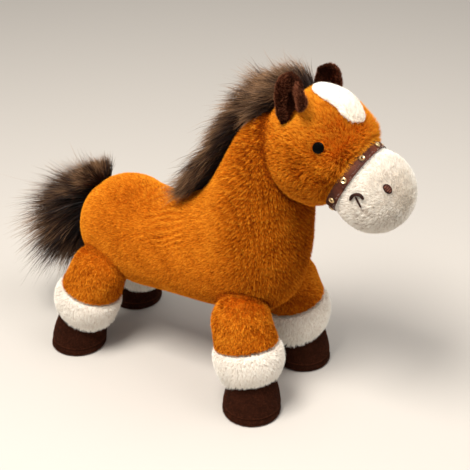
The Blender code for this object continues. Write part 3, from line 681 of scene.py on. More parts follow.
# Where the strokes fade in and out, by height and along the back
STROKED_HIGH, STROKED_LONG = ((0.116, 0.128), (0.150, 0.168)), ((-0.060, -0.035), (0.02, 0.045))
BODY_TALL, CHEST_TALLER, STROKE_TALLER = 0.0026, 0.0013, 0.0006
CHEST_AHEAD, CHEST_ABOVE, CHEST_SLANT = (0.055, 0.095), (0.05, 0.075), 0.15
# Heights where painted shade darkens the belly and painted light brightens the back
SHADED_BELLY, LIT_BACK = (0.06, 0.075), (0.1, 0.14)
# How much painted shade darkens the pile's tone in the creases where pieces meet
PAINTED_CREASE_SHADE = 2.5


def strip(half, rear, front, low, high=math.inf, steep=math.inf):
    """Keeps pile on a strip along the toy's middle, between two places along X and two heights, and
    where the skin faces forwards by less than `steep`."""

    def kept(points, normals):
        x, y, z = points.T
        inside = (np.abs(y) < half) & (x > rear) & (x < front) & (z > low) & (z < high)
        return (inside & (normals[:, 0] < steep)).astype(float)

    return kept


# The mane's strip on top of the neck, from the withers to the head
on_crest = strip(CREST_HALF_WIDTH, rear=MANE_END, front=0.095, low=0.142, steep=0.3)


def on_chest(points):
    """1 on the chest and the shoulder's front, where the pile stands longer and takes painted shade with
    glints.
    """
    x, _, z = points.T
    return ease(x + CHEST_SLANT * z, *CHEST_AHEAD) * ease(z, *CHEST_ABOVE)


def within(x, start, end):
    """1 between `start` and `end`, each of which is a pair that it eases over."""
    return ease(x, *start) * fall(x, *end)


def stroked(points):
    """Fine waves under the mane where the pile was stroked: -1 in a groove and 1 on a ridge."""
    x, _, z = points.T
    zone = within(z, *STROKED_HIGH) * within(x, *STROKED_LONG)
    drift = STROKE_DRIFT * soft_noise(points, 0.022, 3)
    wave = np.sin((z - STROKE_SLANT * x + drift) * 2 * math.pi / STROKE_WAVE)
    return zone * wave * ease(soft_noise(points, 0.03, 4), -0.6, 0.3)


def glints(points, scale, seed):
    """Small spots, 1 where the tips of a tuft catch the light."""
    return ease(soft_noise(points, scale, seed), 0.1, 0.9)


in_body_creases = by_nodes([f"leg_{tag}" for tag in LEGS] + ["head"])


def body_length(points):
    tall = BODY_TALL + CHEST_TALLER * on_chest(points) + STROKE_TALLER * stroked(points)
    return tall * (1 - 0.5 * in_body_creases(points))


def body_grows(points, normals):
    """Leaves out skin that the head, a leg or the mane covers."""
    kept = off(points, HEAD_MIDDLE) > HIDDEN_AT_HEAD
    for hip in HIPS.values():
        kept &= off(points, hip) > HIDDEN_AT_HIP
    return kept * (1 - on_crest(points, normals))


def body_shade(points):
    """Painted shade on the chest, the belly and the strokes' grooves, painted light on the back and the
    strokes' ridges, glints on the chest and painted shade in the creases by the legs and head.
    """
    chest, belly = on_chest(points), fall(points[:, 2], *SHADED_BELLY)
    top = 0.3 * ease(points[:, 2], *LIT_BACK) - 2.6 * belly
    # Painted shade darkens the chest all over, and glints of painted light speckle it
    golden = chest * (2.9 * glints(points, 0.0026, 8) - 1.9)
    return top * (1 - chest) + golden + stroked(points) - PAINTED_CREASE_SHADE * in_body_creases(points)


grow("body_pile", body_skin, CARAMEL, comb_body, body_length, density=4.8, seed=11, lean=50,
     pull=0.15, turn=9, ruffle=5, width=0.00037, keep=body_grows, shade=body_shade,
     lift=lambda points: 20 * on_chest(points) + 10 * stroked(points),
     clump=lambda points: 0.1 * on_chest(points), body="torso")

# %% [markdown]
# ## Head
# The head is a round stuffed ball of the same plush, filled a little higher at the crown. Its pile
# stands longer than the body's and is brushed back from the noseband. It is paler on the forehead
# and the brow, which is painted light, and darker and redder round the eyes, partly the plush's own
# colour and partly painted shade of the hollows they sit in.

# %% Head skin and pile
BLAZE_TIP = np.array([0.0193, 0, 0.038])
EYES = [middle_of(f"eye_{side}") for side in ("left", "right")]
EYE_CLEAR, EYE_NEAR, REAR_CLEAR, BLAZE_NEAR = 0.0040, 0.016, 0.0006, 0.009
# The brow, where the pile puffs up and takes painted light; the heights where the head's top takes painted
# light; and the cheeks, speckled with glints
BROW_AHEAD, BROW_ABOVE, LIT_HEAD_TOP, CHEEK = (0.004, 0.027), (-0.010, 0.020), (0.004, 0.024), (-0.002, 0.022)
HEAD_TALL, BROW_TALLER = 0.0036, 0.0028
CROWN, CROWN_RISE = HEAD_FRAME @ Vector((-0.008, 0.0, 0.042)), head_way(0, 0, 0.0018)
CROWN_SIZE, CROWN_REACH = 0.010, 0.026


def raise_crown(piece):
    """Pulls the cloth on top of the head up a little."""
    pull_points(piece, lambda co: (co - CROWN).length < CROWN_SIZE, CROWN_RISE, CROWN_REACH)


head_skin = remesh(copy_of(["head"], "head_skin"), voxel=0.0016, inset=PILE_INSET * 0.6, smoothing=3)
raise_crown(head_skin)
dress(head_skin, CARAMEL, "skull", ("head", "eye_washer_left", "eye_washer_right"))
# The strip between the ears where the mane goes on over the head
on_poll = strip(CREST_HALF_WIDTH, rear=0.078, front=0.104, low=0.235)


def head_grows(points, normals):
    """Pile on the head stops at the noseband, at the beads and under the mane."""
    kept = in_head(points)[:, 0] < BAND_REAR - REAR_CLEAR
    for eye in EYES:
        kept &= off(points, eye) > EYE_CLEAR
    return kept * (1 - on_poll(points, normals))


def by_brow(points):
    """1 on the forehead next to the band, where the pile puffs up as high as the band."""
    local = in_head(points)
    off_blaze = 1 - bell(off(local, BLAZE_TIP), BLAZE_NEAR)
    return ease(local[:, 0], *BROW_AHEAD) * ease(local[:, 2], *BROW_ABOVE) * off_blaze


in_head_crease = by_nodes(["neck"])


def head_length(points):
    tall = HEAD_TALL + BROW_TALLER * by_brow(points)
    return tall * (1 - 0.2 * by_rear_edge(points)) * (1 - 0.5 * in_head_crease(points))


def head_shade(points):
    """Painted light on top and on the brow, darker and redder round the eyes (partly the plush's own
    colour and partly painted shade), glints on the cheeks and painted shade in the neck's crease.
    """
    high = in_head(points)[:, 2]
    near_eye = sum(bell(off(points, eye), EYE_NEAR) for eye in EYES)
    top = 2.2 * ease(high, *LIT_HEAD_TOP) + 1.8 * by_brow(points)
    cheek = fall(high, *CHEEK) * (2.7 * glints(points, 0.0025, 9) - 1.0)
    return top - near_eye + cheek - PAINTED_CREASE_SHADE * in_head_crease(points)


grow("head_pile", head_skin, CARAMEL, comb_head, head_length, density=6.6, seed=12, lean=42,
     tuft=1.5, steps=2, turn=26, ruffle=10, keep=head_grows, shade=head_shade,
     lift=lambda points: 10 * by_brow(points) + 12 * by_rear_edge(points),
     body="skull")

# %% [markdown]
# ## Legs, socks and hooves
# Each leg is a stuffed tube in three cloths: caramel plush above, a white plush cuff whose lower
# edge hangs a little over the hoof, and a hoof of short dark nap. A seam runs round the hoof just
# above the ground, where its wall is sewn to the flat sole: the cloth is pinched in along it.

# %% Legs
SEAM_LOW, SEAM_HIGH, SEAM_DEPTH, SOLE_TOP = 0.0056, 0.0076, 0.0012, 0.001
# How far the nap stops short of the seam, and where above the seam the pale line lies and how wide it is
SEAM_LAP, PALE_LINE_ABOVE, PALE_LINE_WIDTH = 0.0004, 0.0003, 0.0006
SOCK_EDGE, FRINGE_BELOW, FRINGE_ABOVE = 0.033, 0.003, 0.004
# Heights at the leg's top where painted light lifts the body's shadow off the pile
CUFF_REACH, LIT_LEG_TOP = 0.005, (0.07, 0.095)
LEG_TALL, CUFF_TALLER, SOCK_TALL, FRINGE_TALLER, HOOF_TALL = 0.0028, 0.0012, 0.0029, 0.0030, 0.0013
WHITE_PALER = 0.6


def pinch_seam(piece):
    """Draws the cloth in along the seam between the hoof's wall and its sole."""
    edited(piece, lambda: bpy.ops.transform.shrink_fatten(value=-SEAM_DEPTH),
           chosen=lambda vertex: SEAM_LOW < vertex.co.z < SEAM_HIGH and abs(vertex.normal.z) < 0.8)


def off_seam(points, normals):
    """Nap on the hoof's wall but not along its seam, and none under the sole."""
    high = points[:, 2]
    return ((high > SEAM_HIGH - SEAM_LAP) | ((high > SOLE_TOP) & (high < SEAM_LOW))).astype(float)


def comb_leg(out):
    """Down and a little outwards, so that the pile parts out of sight where the leg meets the body."""
    return comb_to(0.0, 0.8 * out, -1.0)


def leg_length(cuff):
    """Longer where the pile meets the sock's upper edge, and short in the body's crease."""

    def length(points):
        tall = LEG_TALL + CUFF_TALLER * fall(points[:, 2], cuff, cuff + CUFF_REACH)
        return tall * (1 - 0.4 * in_leg_crease(points))

    return length


in_leg_crease = by_nodes(["body"])


def leg_shade(points):
    """Glints all over, painted light at the top where the body's shadow falls, and painted shade in the
    body's crease.
    """
    spots = 1.7 * glints(points, 0.0027, 15)
    return spots - 0.5 + 0.8 * ease(points[:, 2], *LIT_LEG_TOP) - PAINTED_CREASE_SHADE * in_leg_crease(points)


def by_sock_edge(points):
    """1 at the sock's lower edge, where its pile hangs over the hoof as a fringe."""
    return fall(points[:, 2], SOCK_EDGE - FRINGE_BELOW, SOCK_EDGE + FRINGE_ABOVE)


def sock_length(points):
    return SOCK_TALL + FRINGE_TALLER * by_sock_edge(points)


def hoof_shade(points):
    """Paler in a thin line just above the seam."""
    return 2.2 * bell(points[:, 2] - SEAM_HIGH - PALE_LINE_ABOVE, PALE_LINE_WIDTH)


for index, tag in enumerate(LEGS):
    limb, out = f"limb_{tag}", OUT[tag.split("_")[1]]
    leg_skin = copy_of([f"leg_{tag}"], f"leg_{tag}_skin")
    remesh(leg_skin, voxel=0.0018, inset=PILE_INSET, smoothing=2)
    dress(leg_skin, CARAMEL, limb, (f"leg_{tag}",))
    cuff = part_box(f"leg_{tag}")[0][2]
    grow(f"leg_{tag}_pile", leg_skin, CARAMEL, comb_leg(out), leg_length(cuff), density=5.4,
         seed=20 + index, lean=45, tuft=1.5, width=0.00034, turn=24, ruffle=10, shade=leg_shade,
         body=limb)
    sock_skin = copy_of([f"sock_{tag}"], f"sock_{tag}_skin")
    remesh(sock_skin, voxel=0.0018, inset=PILE_INSET * 0.8, smoothing=2)
    dress(sock_skin, WHITE, limb, (f"sock_{tag}",))
    grow(f"sock_{tag}_pile", sock_skin, WHITE, comb_down, sock_length, density=5.0, seed=30 + index,
         lean=46, tuft=1.6, width=0.00035, pull=0.35, turn=24, ruffle=9, shade=evenly(WHITE_PALER),
         clump=lambda points: 0.3 * by_sock_edge(points), body=limb)
    hoof_skin = copy_of([f"hoof_{tag}", f"sole_{tag}"], f"hoof_{tag}_skin")
    remesh(hoof_skin, voxel=0.0011, inset=0.0006, smoothing=2)
    pinch_seam(hoof_skin)
    dress(hoof_skin, CHOCOLATE, limb, (f"hoof_{tag}", f"sole_{tag}"))
    grow(f"hoof_{tag}_nap", hoof_skin, CHOCOLATE, comb_down, evenly(HOOF_TALL), density=4.2,
         seed=40 + index, lean=48, tuft=1.2, pull=0.15, keep=off_seam, shade=hoof_shade,
         body=limb)

# %% [markdown]
# ## Muzzle and blaze
# The muzzle is a bulb of fine white plush. The blaze is a smooth white oval of the same, clipped
# shorter. The pile is parted where the nostrils and the dimples are stitched.

# %% Muzzle
# How far the pile is parted round the middle of each stitched spot; the left nostril is half covered
PARTED = {"nostril_left": 0.0026, "nostril_right": 0.0034, "dimple_left": 0.0018, "dimple_right": 0.0018}
STITCHED = {name: middle_of(name) for name in PARTED}
# The two ends, in the head's own axes on either side, of the line of painted shade that stands for
# the crease running on from the smile
CREASE = ((0.0551, 0.0292, 0.0022), (0.0672, 0.0251, 0.0001))
CREASE_SHADE_WIDTH, CHIN = 0.0016, (-0.006, 0.012)
FRONT_CLEAR, MUZZLE_TALL, LAP_TALLER, BLAZE_TALL = 0.0002, 0.0029, 0.0016, 0.0024


def muzzle_grows(points, normals):
    """No pile under the band, and parted at the stitches."""
    kept = (in_head(points)[:, 0] > BAND_FRONT + FRONT_CLEAR).astype(float)
    for name, spot in STITCHED.items():
        kept[off(points, spot) < PARTED[name]] = 0
    return kept


def by_band(points):
    """1 next to the noseband, whose front edge the pile overlaps."""
    return fall(in_head(points)[:, 0], BAND_FRONT + LAP_FRONT, BAND_FRONT + LAP_START)


def muzzle_length(points):
    return MUZZLE_TALL + LAP_TALLER * by_band(points)


def by_chin(points):
    """1 below the smile, where the pile parts into soft tufts."""
    return fall(in_head(points)[:, 2], *CHIN)


def muzzle_shade(points):
    """White, with painted shade: greyer along the crease that runs on from the smile line towards the
    chin, and a little greyer below the smile.
    """
    local = in_head(points)
    local[:, 1] = np.abs(local[:, 1])
    start, end = np.array(CREASE)
    share = ((local - start) @ (end - start) / ((end - start) @ (end - start))).clip(0, 1)
    away = np.linalg.norm(local - start - share[:, None] * (end - start), axis=1)
    return 0.7 - 3.2 * bell(away, CREASE_SHADE_WIDTH) * (1 - 0.5 * share) - 0.3 * by_chin(points)


BLAZE_END, BLAZE_PULL = -0.0207, head_way(-0.0032, 0, -0.0010)
# How far the blaze's upper sides are drawn outwards: left is positive
BLAZE_WIDER, BLAZE_AHEAD, BLAZE_ASIDE, BLAZE_HIGH = (0.0010, -0.0036), 0.011, 0.0100, 0.0385
muzzle_skin = remesh(copy_of(["muzzle"], "muzzle_skin"), voxel=0.0013, inset=0.0014, smoothing=2)
dress(muzzle_skin, WHITE, "skull", ("muzzle",))
grow("muzzle_pile", muzzle_skin, WHITE, comb_muzzle, muzzle_length, density=7.6, seed=13, lean=46,
     tuft=1.8, pull=0.2, ruffle=8, turn=18, steps=2, keep=muzzle_grows, shade=muzzle_shade,
     lift=lambda points: 28 * by_band(points), clump=lambda points: 0.35 * by_chin(points),
     body="skull")
blaze_skin = remesh(copy_of(["blaze"], "blaze_skin"), voxel=0.0008, inset=0.0, smoothing=2)
raise_crown(blaze_skin)
pull_points(blaze_skin, lambda co: (HEAD_FRAME.inverted() @ co).x < BLAZE_END + 0.004, BLAZE_PULL, 0.012)
for wide in BLAZE_WIDER:
    spot = HEAD_FRAME @ Vector((BLAZE_AHEAD, math.copysign(BLAZE_ASIDE, wide), BLAZE_HIGH))
    pull_points(blaze_skin, lambda co: (co - spot).length < 0.005, head_way(0, wide, -0.0008), 0.009)
dress(blaze_skin, WHITE, "skull", ("blaze",))
grow("blaze_pile", blaze_skin, WHITE, comb_head, evenly(BLAZE_TALL), density=9.0, seed=14, lean=64,
     tuft=1.2, turn=8, ruffle=5, shade=evenly(WHITE_PALER), body="skull")

# %% [markdown]
# ## Ears
# An ear is two layers of dark nap sewn to a leaf and turned right side out. At its root it is folded
# on itself, so its sides curl round towards the outside and it ends in a narrow tail. The leaf is
# cut to its outline, rounded and padded, and then its rims are pulled round with a soft falloff.

# %% Ears
EAR_HIGH, EAR_WIDE, EAR_THICK = 0.040, 0.026, 0.0042
EAR_CURL, EAR_HOLLOW, EAR_NARROWER = 0.0060, 0.0035, 0.001
# As shares of the width: the two steps of the edge, and each rim's own width and its pull's reach
EAR_EDGES, REAR_RIM, FRONT_RIM = (0.05, 0.04), (0.07, 0.36), (0.12, 0.5)
# The rim's own nap begins so far outwards from the ear's middle
RIM_OUT = (0.0015, 0.0045)
# Each leaf's outline in shares of its width and height: forwards and upwards from the root
EAR_OUTLINE_SHARES = {
    "right": ((-0.06, 0.77), (0.20, 0.69), (0.50, 0.53), (0.70, 0.36), (0.66, 0.24), (0.45, 0.14),
              (0.22, 0.10), (0.03, 0.07), (-0.03, -0.12), (-0.04, -0.27), (-0.18, -0.29),
              (-0.20, -0.12), (-0.26, 0.12), (-0.30, 0.42), (-0.23, 0.65)),
    "left": ((0.16, 0.68), (0.33, 0.71), (0.49, 0.62), (0.59, 0.50), (0.65, 0.34), (0.62, 0.16),
             (0.36, 0.04), (0.08, -0.02), (-0.10, -0.22), (-0.20, -0.06), (-0.22, 0.20),
             (-0.20, 0.40), (-0.12, 0.54), (0.02, 0.62)),
}
# The ears are sewn on by hand: the left one sits lower and farther back than the right one
EAR_SHIFT = {"right": (0.0, 0.0, 0.0010), "left": (-0.0085, 0.0, -0.0100)}


def build_ear(side):
    """A cut leaf, padded and curled, made upright at the origin and sewn on with its hollow outwards."""
    out, outline = OUT[side], EAR_OUTLINE_SHARES[side]
    rearmost, foremost = min(outline)[0], max(outline)[0]
    bpy.ops.mesh.primitive_circle_add(vertices=len(outline), radius=EAR_WIDE / 2, fill_type="NGON")
    ear = bpy.context.view_layer.objects.active
    ear.name = f"ear_{side}_skin"
    for vertex, (ahead, up) in zip(ear.data.vertices, outline):
        vertex.co = (ahead * EAR_WIDE, 0, up * EAR_HIGH)
    outer, inner = (EAR_WIDE * share for share in EAR_EDGES)
    edited(ear, lambda: bpy.ops.mesh.inset(thickness=outer), lambda: bpy.ops.mesh.inset(thickness=inner),
           bpy.ops.mesh.poke)
    modified(ear, "SUBSURF", levels=2, render_levels=2)
    modified(ear, "SOLIDIFY", thickness=EAR_THICK, offset=0.0)
    modified(ear, "SUBSURF", levels=1, render_levels=1)
    pull_points(ear, lambda co: co.x < EAR_WIDE * (rearmost + REAR_RIM[0]),
                (EAR_NARROWER, out * EAR_CURL, 0), EAR_WIDE * REAR_RIM[1])
    pull_points(ear, lambda co: co.x > EAR_WIDE * (foremost - FRONT_RIM[0]),
                (-EAR_NARROWER, out * EAR_CURL, 0), EAR_WIDE * FRONT_RIM[1])
    hollow = Vector((EAR_WIDE * 0.12, 0, EAR_HIGH * 0.15))
    pull_points(ear, lambda co: (co - hollow).length < 0.004, (0, -out * EAR_HOLLOW, 0), EAR_WIDE * 0.4)
    edited(ear, faces_out)
    bpy.ops.object.shade_smooth()
    place = Vector(joints[f"ear_{side}_flop"]["pos_m"]) + Vector(EAR_SHIFT[side])
    ear.matrix_world = Matrix.Translation(place) @ Matrix.Rotation(HEAD_TURNED, 4, "Z")
    settle(ear)
    return ear


def by_rim(side, inside):
    """Keeps pile on the ear's curled rim only, or everywhere but thinner there."""
    out, middle = OUT[side], joints[f"ear_{side}_flop"]["pos_m"][1]

    def kept(points, normals):
        rim = ease(out * (points[:, 1] - middle), *RIM_OUT)
        return rim if inside else 1 - 0.6 * rim

    return kept


for index, side in enumerate(("left", "right")):
    ear_skin = build_ear(side)
    dress(ear_skin, CHOCOLATE, f"ear_{side}", (f"ear_{side}",))
    for kind, material, inside, tall in (("nap", CHOCOLATE, False, 0.0018), ("rim", EAR_RIM, True, 0.0022)):
        grow(f"ear_{side}_{kind}", ear_skin, material, comb_up, evenly(tall), density=8.0,
             seed=50 + index, lean=46, tuft=1.3, width=0.0003, turn=30, keep=by_rim(side, inside),
             body=f"ear_{side}")

# %% [markdown]
# ## Mane and tail
# Both are strips of long-pile cloth, nearly black at the root and taupe at the tip. The mane's
# strip runs up the crest and on over the head between the ears. The tail's is sewn over the rump,
# so its strands fan out: up at the top, back in the middle and down below. The tail's strands
# ride on no body and stay where they are sewn on the rump.

# %% Long strands
LONG_STEPS, LONG_ROOT_DEPTH, WISP_LONGER = 4, 0.001, 1.25


def strands(name, lines, seed, *, shade, pull, locks=0.02, width=0.0004, wave=0.05, loose=0.25, mottle=0.6):
    """Long hairs along `lines` of shape (hair, step, 3). The tips gather into locks, `locks` of them for
    each hair, and the share `loose` stays free; `mottle` varies their tone and `shade` slides it."""
    draw = np.random.default_rng(seed)
    count, shares = len(lines), np.linspace(0, 1, lines.shape[1])
    centres = draw.choice(count, max(4, int(count * locks)), replace=False)
    whose = centres[nearest(lines[:, -1], lines[centres, -1])]
    free = draw.random(count) < loose
    held = np.where(free, 0, pull * draw.uniform(0.5, 1.2, count))[:, None, None]
    spines = lines + (lines[whose] - lines) * held * (shares**1.5)[None, :, None]
    reach = np.linalg.norm(lines[:, -1] - lines[:, 0], axis=1)
    bend = draw.normal(size=(count, 3)) * (wave * reach)[:, None]
    spines = spines + bend[:, None, :] * (shares**2)[None, :, None]
    lie = unit(spines[:, -1] - spines[:, 0])
    sides = unit(np.cross(draw.normal(size=(count, 3)), lie))
    tones = shade + (draw.normal(size=count) * mottle)[whose] + draw.normal(size=count) * mottle
    made = blades(name, spines, sides, width * draw.uniform(0.6, 1.3, count), tones, LONG_DARK)
    print(name, "strands", count)
    return made


def bent_lines(roots, starts, ends, lengths):
    """Lines that leave their roots along `starts` and bend over to `ends`."""
    places, place = [roots], roots
    for share in np.linspace(0, 1, LONG_STEPS + 1)[1:]:
        place = place + unit(starts * (1 - share) + ends * share) * (lengths / LONG_STEPS)[:, None]
        places.append(place)
    return np.stack(places, axis=1)


# %% Mane
ACROSS = np.array([0.0, 1.0, 0.0])
MANE_TALL, MANE_SWEEP, POLL_TALL, POLL_SWEEP = 0.044, 1.9, 0.036, 0.8
# The hair is longer by this share low on the neck, and loses the second one between these heights
CREST_LONGER, CREST_LOSES, CREST_TOP = 1.12, 0.3, (0.175, 0.23)
MANE_DRIFT, MANE_WISPS = 0.003, 0.05


def crest_lines(skin, count, seed, keep, length, sweep):
    """Lines that stand on the crest, fan out to both sides and sweep back, with a few long wisps."""
    draw = np.random.default_rng(seed)
    roots, normals = scatter(ground_of(skin), count, draw, keep)
    spread = roots[:, 1:2] / CREST_HALF_WIDTH
    along = unit(np.cross(ACROSS, normals) * -1.0)
    along *= np.where(along[:, :1] > 0, -1.0, 1.0)
    starts = unit(normals + along * sweep * 0.4 + ACROSS * spread * 0.4 + draw.normal(size=(count, 3)) * 0.14)
    ends = unit(normals * 0.45 + along * sweep + ACROSS * spread * 0.35 + draw.normal(size=(count, 3)) * 0.26)
    lengths = (length + MANE_DRIFT * soft_noise(roots, 0.03, 6)) * draw.uniform(0.55, 1.15, count)
    lengths *= CREST_LONGER - CREST_LOSES * ease(roots[:, 2], *CREST_TOP)
    end = ease(roots[:, 0], MANE_END, MANE_END + MANE_END_LENGTH)
    lengths *= MANE_END_SHARE + (1 - MANE_END_SHARE) * end
    lengths *= np.where(draw.random(count) < MANE_WISPS, WISP_LONGER, 1.0)
    return bent_lines(roots - normals * LONG_ROOT_DEPTH, starts, ends, lengths)


mane_lines = crest_lines(body_skin, 26000, seed=5, keep=on_crest, length=MANE_TALL, sweep=MANE_SWEEP)
mane_hair = strands("mane_hair", mane_lines, seed=7, pull=0.1, mottle=0.35, shade=-0.9)
for item in mane_hair:
    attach(item, "torso")
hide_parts("mane")
poll_lines = crest_lines(head_skin, 8500, seed=6, keep=on_poll, length=POLL_TALL, sweep=POLL_SWEEP)
for item in strands("poll_hair", poll_lines, seed=8, pull=0.1, mottle=0.35, shade=-0.6):
    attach(item, "skull")

# %% Tail
RUMP_STRIP_TOP, RUMP_STRIP_LOW, RUMP_STRIP_HALF = 0.1430, 0.096, 0.006
# Along the strip from its top: how far the strands point up in degrees, and their length
TAIL_FAN = ((0.0, 72, 0.019), (0.25, 34, 0.025), (0.5, -6, 0.058), (0.75, -38, 0.073), (1.0, -66, 0.051))
TAIL_WISPS, TAIL_SPREAD, TAIL_DROOP = 0.04, 15, 0.35
# The narrow strip down the rump that the tail's cloth is sewn along
on_rump = strip(RUMP_STRIP_HALF, -math.inf, front=-0.084, low=RUMP_STRIP_LOW, high=RUMP_STRIP_TOP)


def tail_lines(count, seed):
    """Lines that fan out from the strip: up at its top, back in the middle and down at its foot."""
    draw = np.random.default_rng(seed)
    roots, normals = scatter(ground_of(body_skin), count, draw, on_rump)
    down = (RUMP_STRIP_TOP - roots[:, 2]) / (RUMP_STRIP_TOP - RUMP_STRIP_LOW)
    places, angles, lengths = np.array(TAIL_FAN).T
    rise = np.radians(np.interp(down, places, angles) + draw.normal(size=count) * TAIL_SPREAD)
    side = (0.5 * roots[:, 1] / RUMP_STRIP_HALF + draw.normal(size=count) * 0.28)[:, None]
    way = np.stack([-np.cos(rise), np.zeros(count), np.sin(rise)], axis=1) + ACROSS * side
    length = np.interp(down, places, lengths) * draw.uniform(0.5, 1.15, count)
    length *= np.where(draw.random(count) < TAIL_WISPS, WISP_LONGER, 1.0)
    ends = unit(unit(way) + np.array([0.0, 0.0, -TAIL_DROOP]))
    return bent_lines(roots - normals * LONG_ROOT_DEPTH, unit(normals * 0.5 + way), ends, length)


tail_hair = strands("tail_hair", tail_lines(31000, seed=9), seed=10, locks=0.007, pull=0.5, wave=0.08,
                    loose=0.35, shade=-1.2)
for item in tail_hair:
    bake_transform(item)
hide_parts("tail")

# %% [markdown]
# ## Noseband, eyelets and eyes
# The noseband is a strip of soft brown leather cloth with a fine grain and darker blotches where it
# was rubbed. Its eyelets are pressed brass with a satin shine, and the eyes are glossy black beads.

# %% Hard trim
def trim_material(name, dark, light, rough, metallic, specular, grain, bump, blotch=120.0):
    """Two shades in soft blotches, a fine grain and a roughness that varies between two values."""
    made, tree, shader = new_material(name, specular)
    shader.inputs["Metallic"].default_value = metallic
    blotches = noise_node(tree, (-700, 200), Scale=blotch, Detail=3)
    fine = noise_node(tree, (-700, -200), Scale=grain, Detail=4)
    spread = add_node(tree, "ShaderNodeMapRange", (-500, 200), {"From Min": 0.35, "From Max": 0.65})
    colour = add_node(tree, "ShaderNodeMix", (-300, 200), {"A": linear(dark), "B": linear(light)},
                      data_type="RGBA")
    shine = add_node(tree, "ShaderNodeMapRange", (-300, 0), {"To Min": rough[0], "To Max": rough[1]})
    relief = add_node(tree, "ShaderNodeBump", (-300, -200), {"Strength": bump, "Distance": 0.0003})
    link = tree.links.new
    link(blotches.outputs["Fac"], spread.inputs["Value"])
    link(spread.outputs["Result"], colour.inputs["Factor"])
    link(colour.outputs["Result"], shader.inputs["Base Color"])
    link(fine.outputs["Fac"], shine.inputs["Value"])
    link(shine.outputs["Result"], shader.inputs["Roughness"])
    link(fine.outputs["Fac"], relief.inputs["Height"])
    link(relief.outputs["Normal"], shader.inputs["Normal"])
    return made


LEATHER = trim_material("band_leather", "2c1109", "5a2c1a", (0.50, 0.68), 0.0, 0.16, 1500.0, 0.5, 140.0)
BRASS = trim_material("eyelet_brass", "c79a5c", "f0d9a8", (0.22, 0.38), 1.0, 0.5, 900.0, 0.15)
BEAD = trim_material("bead_black", "020202", "060504", (0.06, 0.10), 0.0, 0.05, 300.0, 0.0)
THREAD = trim_material("dark_thread", "1c0a05", "3a1a10", (0.5, 0.65), 0.0, 0.15, 2500.0, 0.6, 800.0)
SATIN_THREAD = trim_material("satin_thread", "4a2012", "7e4632", (0.4, 0.55), 0.0, 0.3, 2500.0, 0.6, 800.0)


cover(frame["nodes"]["noseband"], LEATHER)
for side in OUT:
    cover(frame["nodes"][f"eye_{side}"], BEAD)
for name in frame["nodes"]:
    if name.startswith("eyelet_"):
        cover(frame["nodes"][name], BRASS)
print("band, eyelets and beads finished")

# %% [markdown]
# ## Dimples and smiles
# A dimple is a short arc of several threads laid side by side, thick and dark. The smile line under
# it is a single thin thread that pulls the cloth in and half disappears in the pile.

# %% Smile stitches
SMILE_MOVED = 0.0012
DIMPLE_SWELL, SMILE_SWELL = 0.00042, -0.00010


def thread_line(node, name, swell, moved=(0, 0, 0)):
    """The frame's stitch, fuller or thinner by `swell` on every side and sewn on `moved` metres away."""
    line = copy_of([node], name)
    line.location = moved
    settle(line)
    modified(line, "DISPLACE", mid_level=0, strength=swell)
    bpy.ops.object.shade_smooth()
    dress(line, THREAD, "skull", (node,))


for side in ("left", "right"):
    thread_line(f"dimple_{side}", f"dimple_{side}_threads", DIMPLE_SWELL)
    up_to_arc = unit(middle_of(f"dimple_{side}") - middle_of(f"smile_{side}"))
    thread_line(f"smile_{side}", f"smile_{side}_thread", SMILE_SWELL, up_to_arc * SMILE_MOVED)
print("dimples and smiles stitched")

# %% [markdown]
# ## Satin-stitched nostrils
# A nostril is an oval of parallel stitches over a little padding. Each stitch is a loop of thread
# that goes through the cloth at both ends: half a squashed ring. One is modelled, then copied
# side by side with its length following the oval. The frame's oval under them is the padding, pulled
# into the muzzle by the thread, and the left one more than the right one.

# %% Nostrils
STITCHES, STITCH_SHARE, STITCH_FLAT, SATIN_SHARE = 4, 0.12, 0.6, 0.74
STITCH_LOW, STITCH_RISE = 0.35, 0.75
NOSTRIL_SUNK = {"left": 0.0021, "right": 0.0006}
MUZZLE_MIDDLE = middle_of("muzzle")


def build_stitch():
    """One arched thread of unit length and unit height, with its two ends down in the cloth."""
    bpy.ops.mesh.primitive_torus_add(major_segments=16, minor_segments=6, major_radius=1, location=(0, 0, 0),
                                     minor_radius=STITCH_SHARE, rotation=(math.pi / 2, 0, 0))
    stitch = bpy.context.view_layer.objects.active
    settle(stitch)
    return stitch


def nostril_frame(node):
    """A nostril oval's middle, its ways out, across and along, and its half sizes in that order."""
    places = of_points(node.data, "co")
    middle = places.mean(axis=0)
    _, ways = np.linalg.eigh(np.cov((places - middle).T))
    out, short, long = ways[:, 0], ways[:, 1], ways[:, 2]
    if out @ (middle - MUZZLE_MIDDLE) < 0:
        out = -out
    half = [np.abs((places - middle) @ way).max() for way in (out, short, long)]
    return middle, out, short, long, half


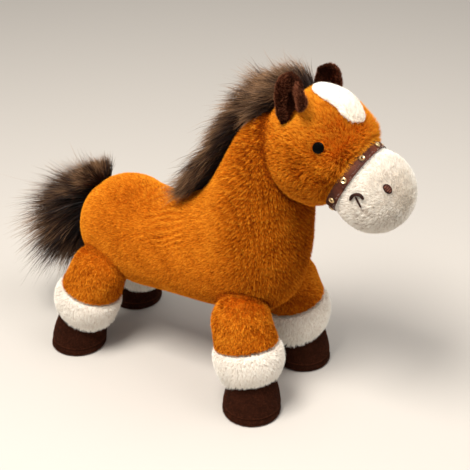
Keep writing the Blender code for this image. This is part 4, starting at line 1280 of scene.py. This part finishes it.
one_stitch = build_stitch()
for side in ("left", "right"):
    middle, out, short, long, (high, half_short, half_long) = nostril_frame(frame["nodes"][f"nostril_{side}"])
    sunk = out * NOSTRIL_SUNK[side]
    thread_line(f"nostril_{side}", f"nostril_{side}_padding", SMILE_SWELL, -sunk)
    half_short, half_long = half_short * SATIN_SHARE, half_long * SATIN_SHARE
    made = []
    for index in range(STITCHES):
        along = -1 + 2 * (index + 0.5) / STITCHES
        span = math.sqrt(1 - along**2)
        copy = one_stitch.copy()
        copy.data = one_stitch.data.copy()
        bpy.context.scene.collection.objects.link(copy)
        wide = half_long / STITCHES / STITCH_SHARE * STITCH_FLAT
        rise = high * (STITCH_LOW + STITCH_RISE * span)
        columns = (short * half_short * span, long * wide, out * rise)
        turned = Matrix([[column[row] for column in columns] for row in range(3)]).to_4x4()
        turned.translation = Vector(middle + long * along * half_long - sunk)
        copy.matrix_world = turned
        made.append(copy)
    settle(*made)
    bpy.ops.object.join()
    nostril = bpy.context.view_layer.objects.active
    nostril.name = f"nostril_{side}_stitches"
    edited(nostril, faces_out)
    bpy.ops.object.shade_smooth()
    dress(nostril, SATIN_THREAD, "skull")
    print(nostril.name, "faces", len(nostril.data.polygons))
bpy.data.objects.remove(one_stitch)

# %% [markdown]
# ## Floor and light
# A pale floor, a soft key light from nearly overhead, a little to the toy's right, and a weaker fill
# from high up in front.

# %% Stage
FLOOR_SIZE, FLOOR_DROP = 8, 0.0002
DAY_COLOUR, DAY_STRENGTH = (1.0, 0.97, 0.93, 1), 0.38
LIT_SPOT = Vector((0.03, 0, 0.12))


def add_stage():
    """A wide floor just under the hooves, and an even pale sky."""
    bpy.ops.mesh.primitive_plane_add(size=FLOOR_SIZE, location=(0, 0, -FLOOR_DROP))
    floor = bpy.context.view_layer.objects.active
    floor.name = "floor"
    made, _, shader = new_material("pale_floor", 0.1)
    shader.inputs["Base Color"].default_value = linear("cdc8c2")
    shader.inputs["Roughness"].default_value = 0.9
    floor.data.materials.append(made)
    world = bpy.data.worlds.new("studio")
    bpy.context.scene.world = world
    world.use_nodes = True
    world.node_tree.nodes["Background"].inputs["Color"].default_value = DAY_COLOUR
    world.node_tree.nodes["Background"].inputs["Strength"].default_value = DAY_STRENGTH


def add_area(name, place, size, power, colour):
    """A square lamp that faces the toy."""
    data = bpy.data.lights.new(name, "AREA")
    data.size, data.energy, data.color = size, power, colour
    lamp = bpy.data.objects.new(name, data)
    bpy.context.scene.collection.objects.link(lamp)
    lamp.location = place
    lamp.rotation_euler = (LIT_SPOT - Vector(place)).to_track_quat("-Z", "Y").to_euler()


add_stage()
add_area("key", (-0.02, -0.55, 1.25), 0.5, 22.6, (1.0, 0.95, 0.88))
add_area("fill", (0.7, 0.1, 1.2), 0.8, 6.5, (1.0, 0.97, 0.93))
bpy.context.scene.view_settings.view_transform = "Standard"
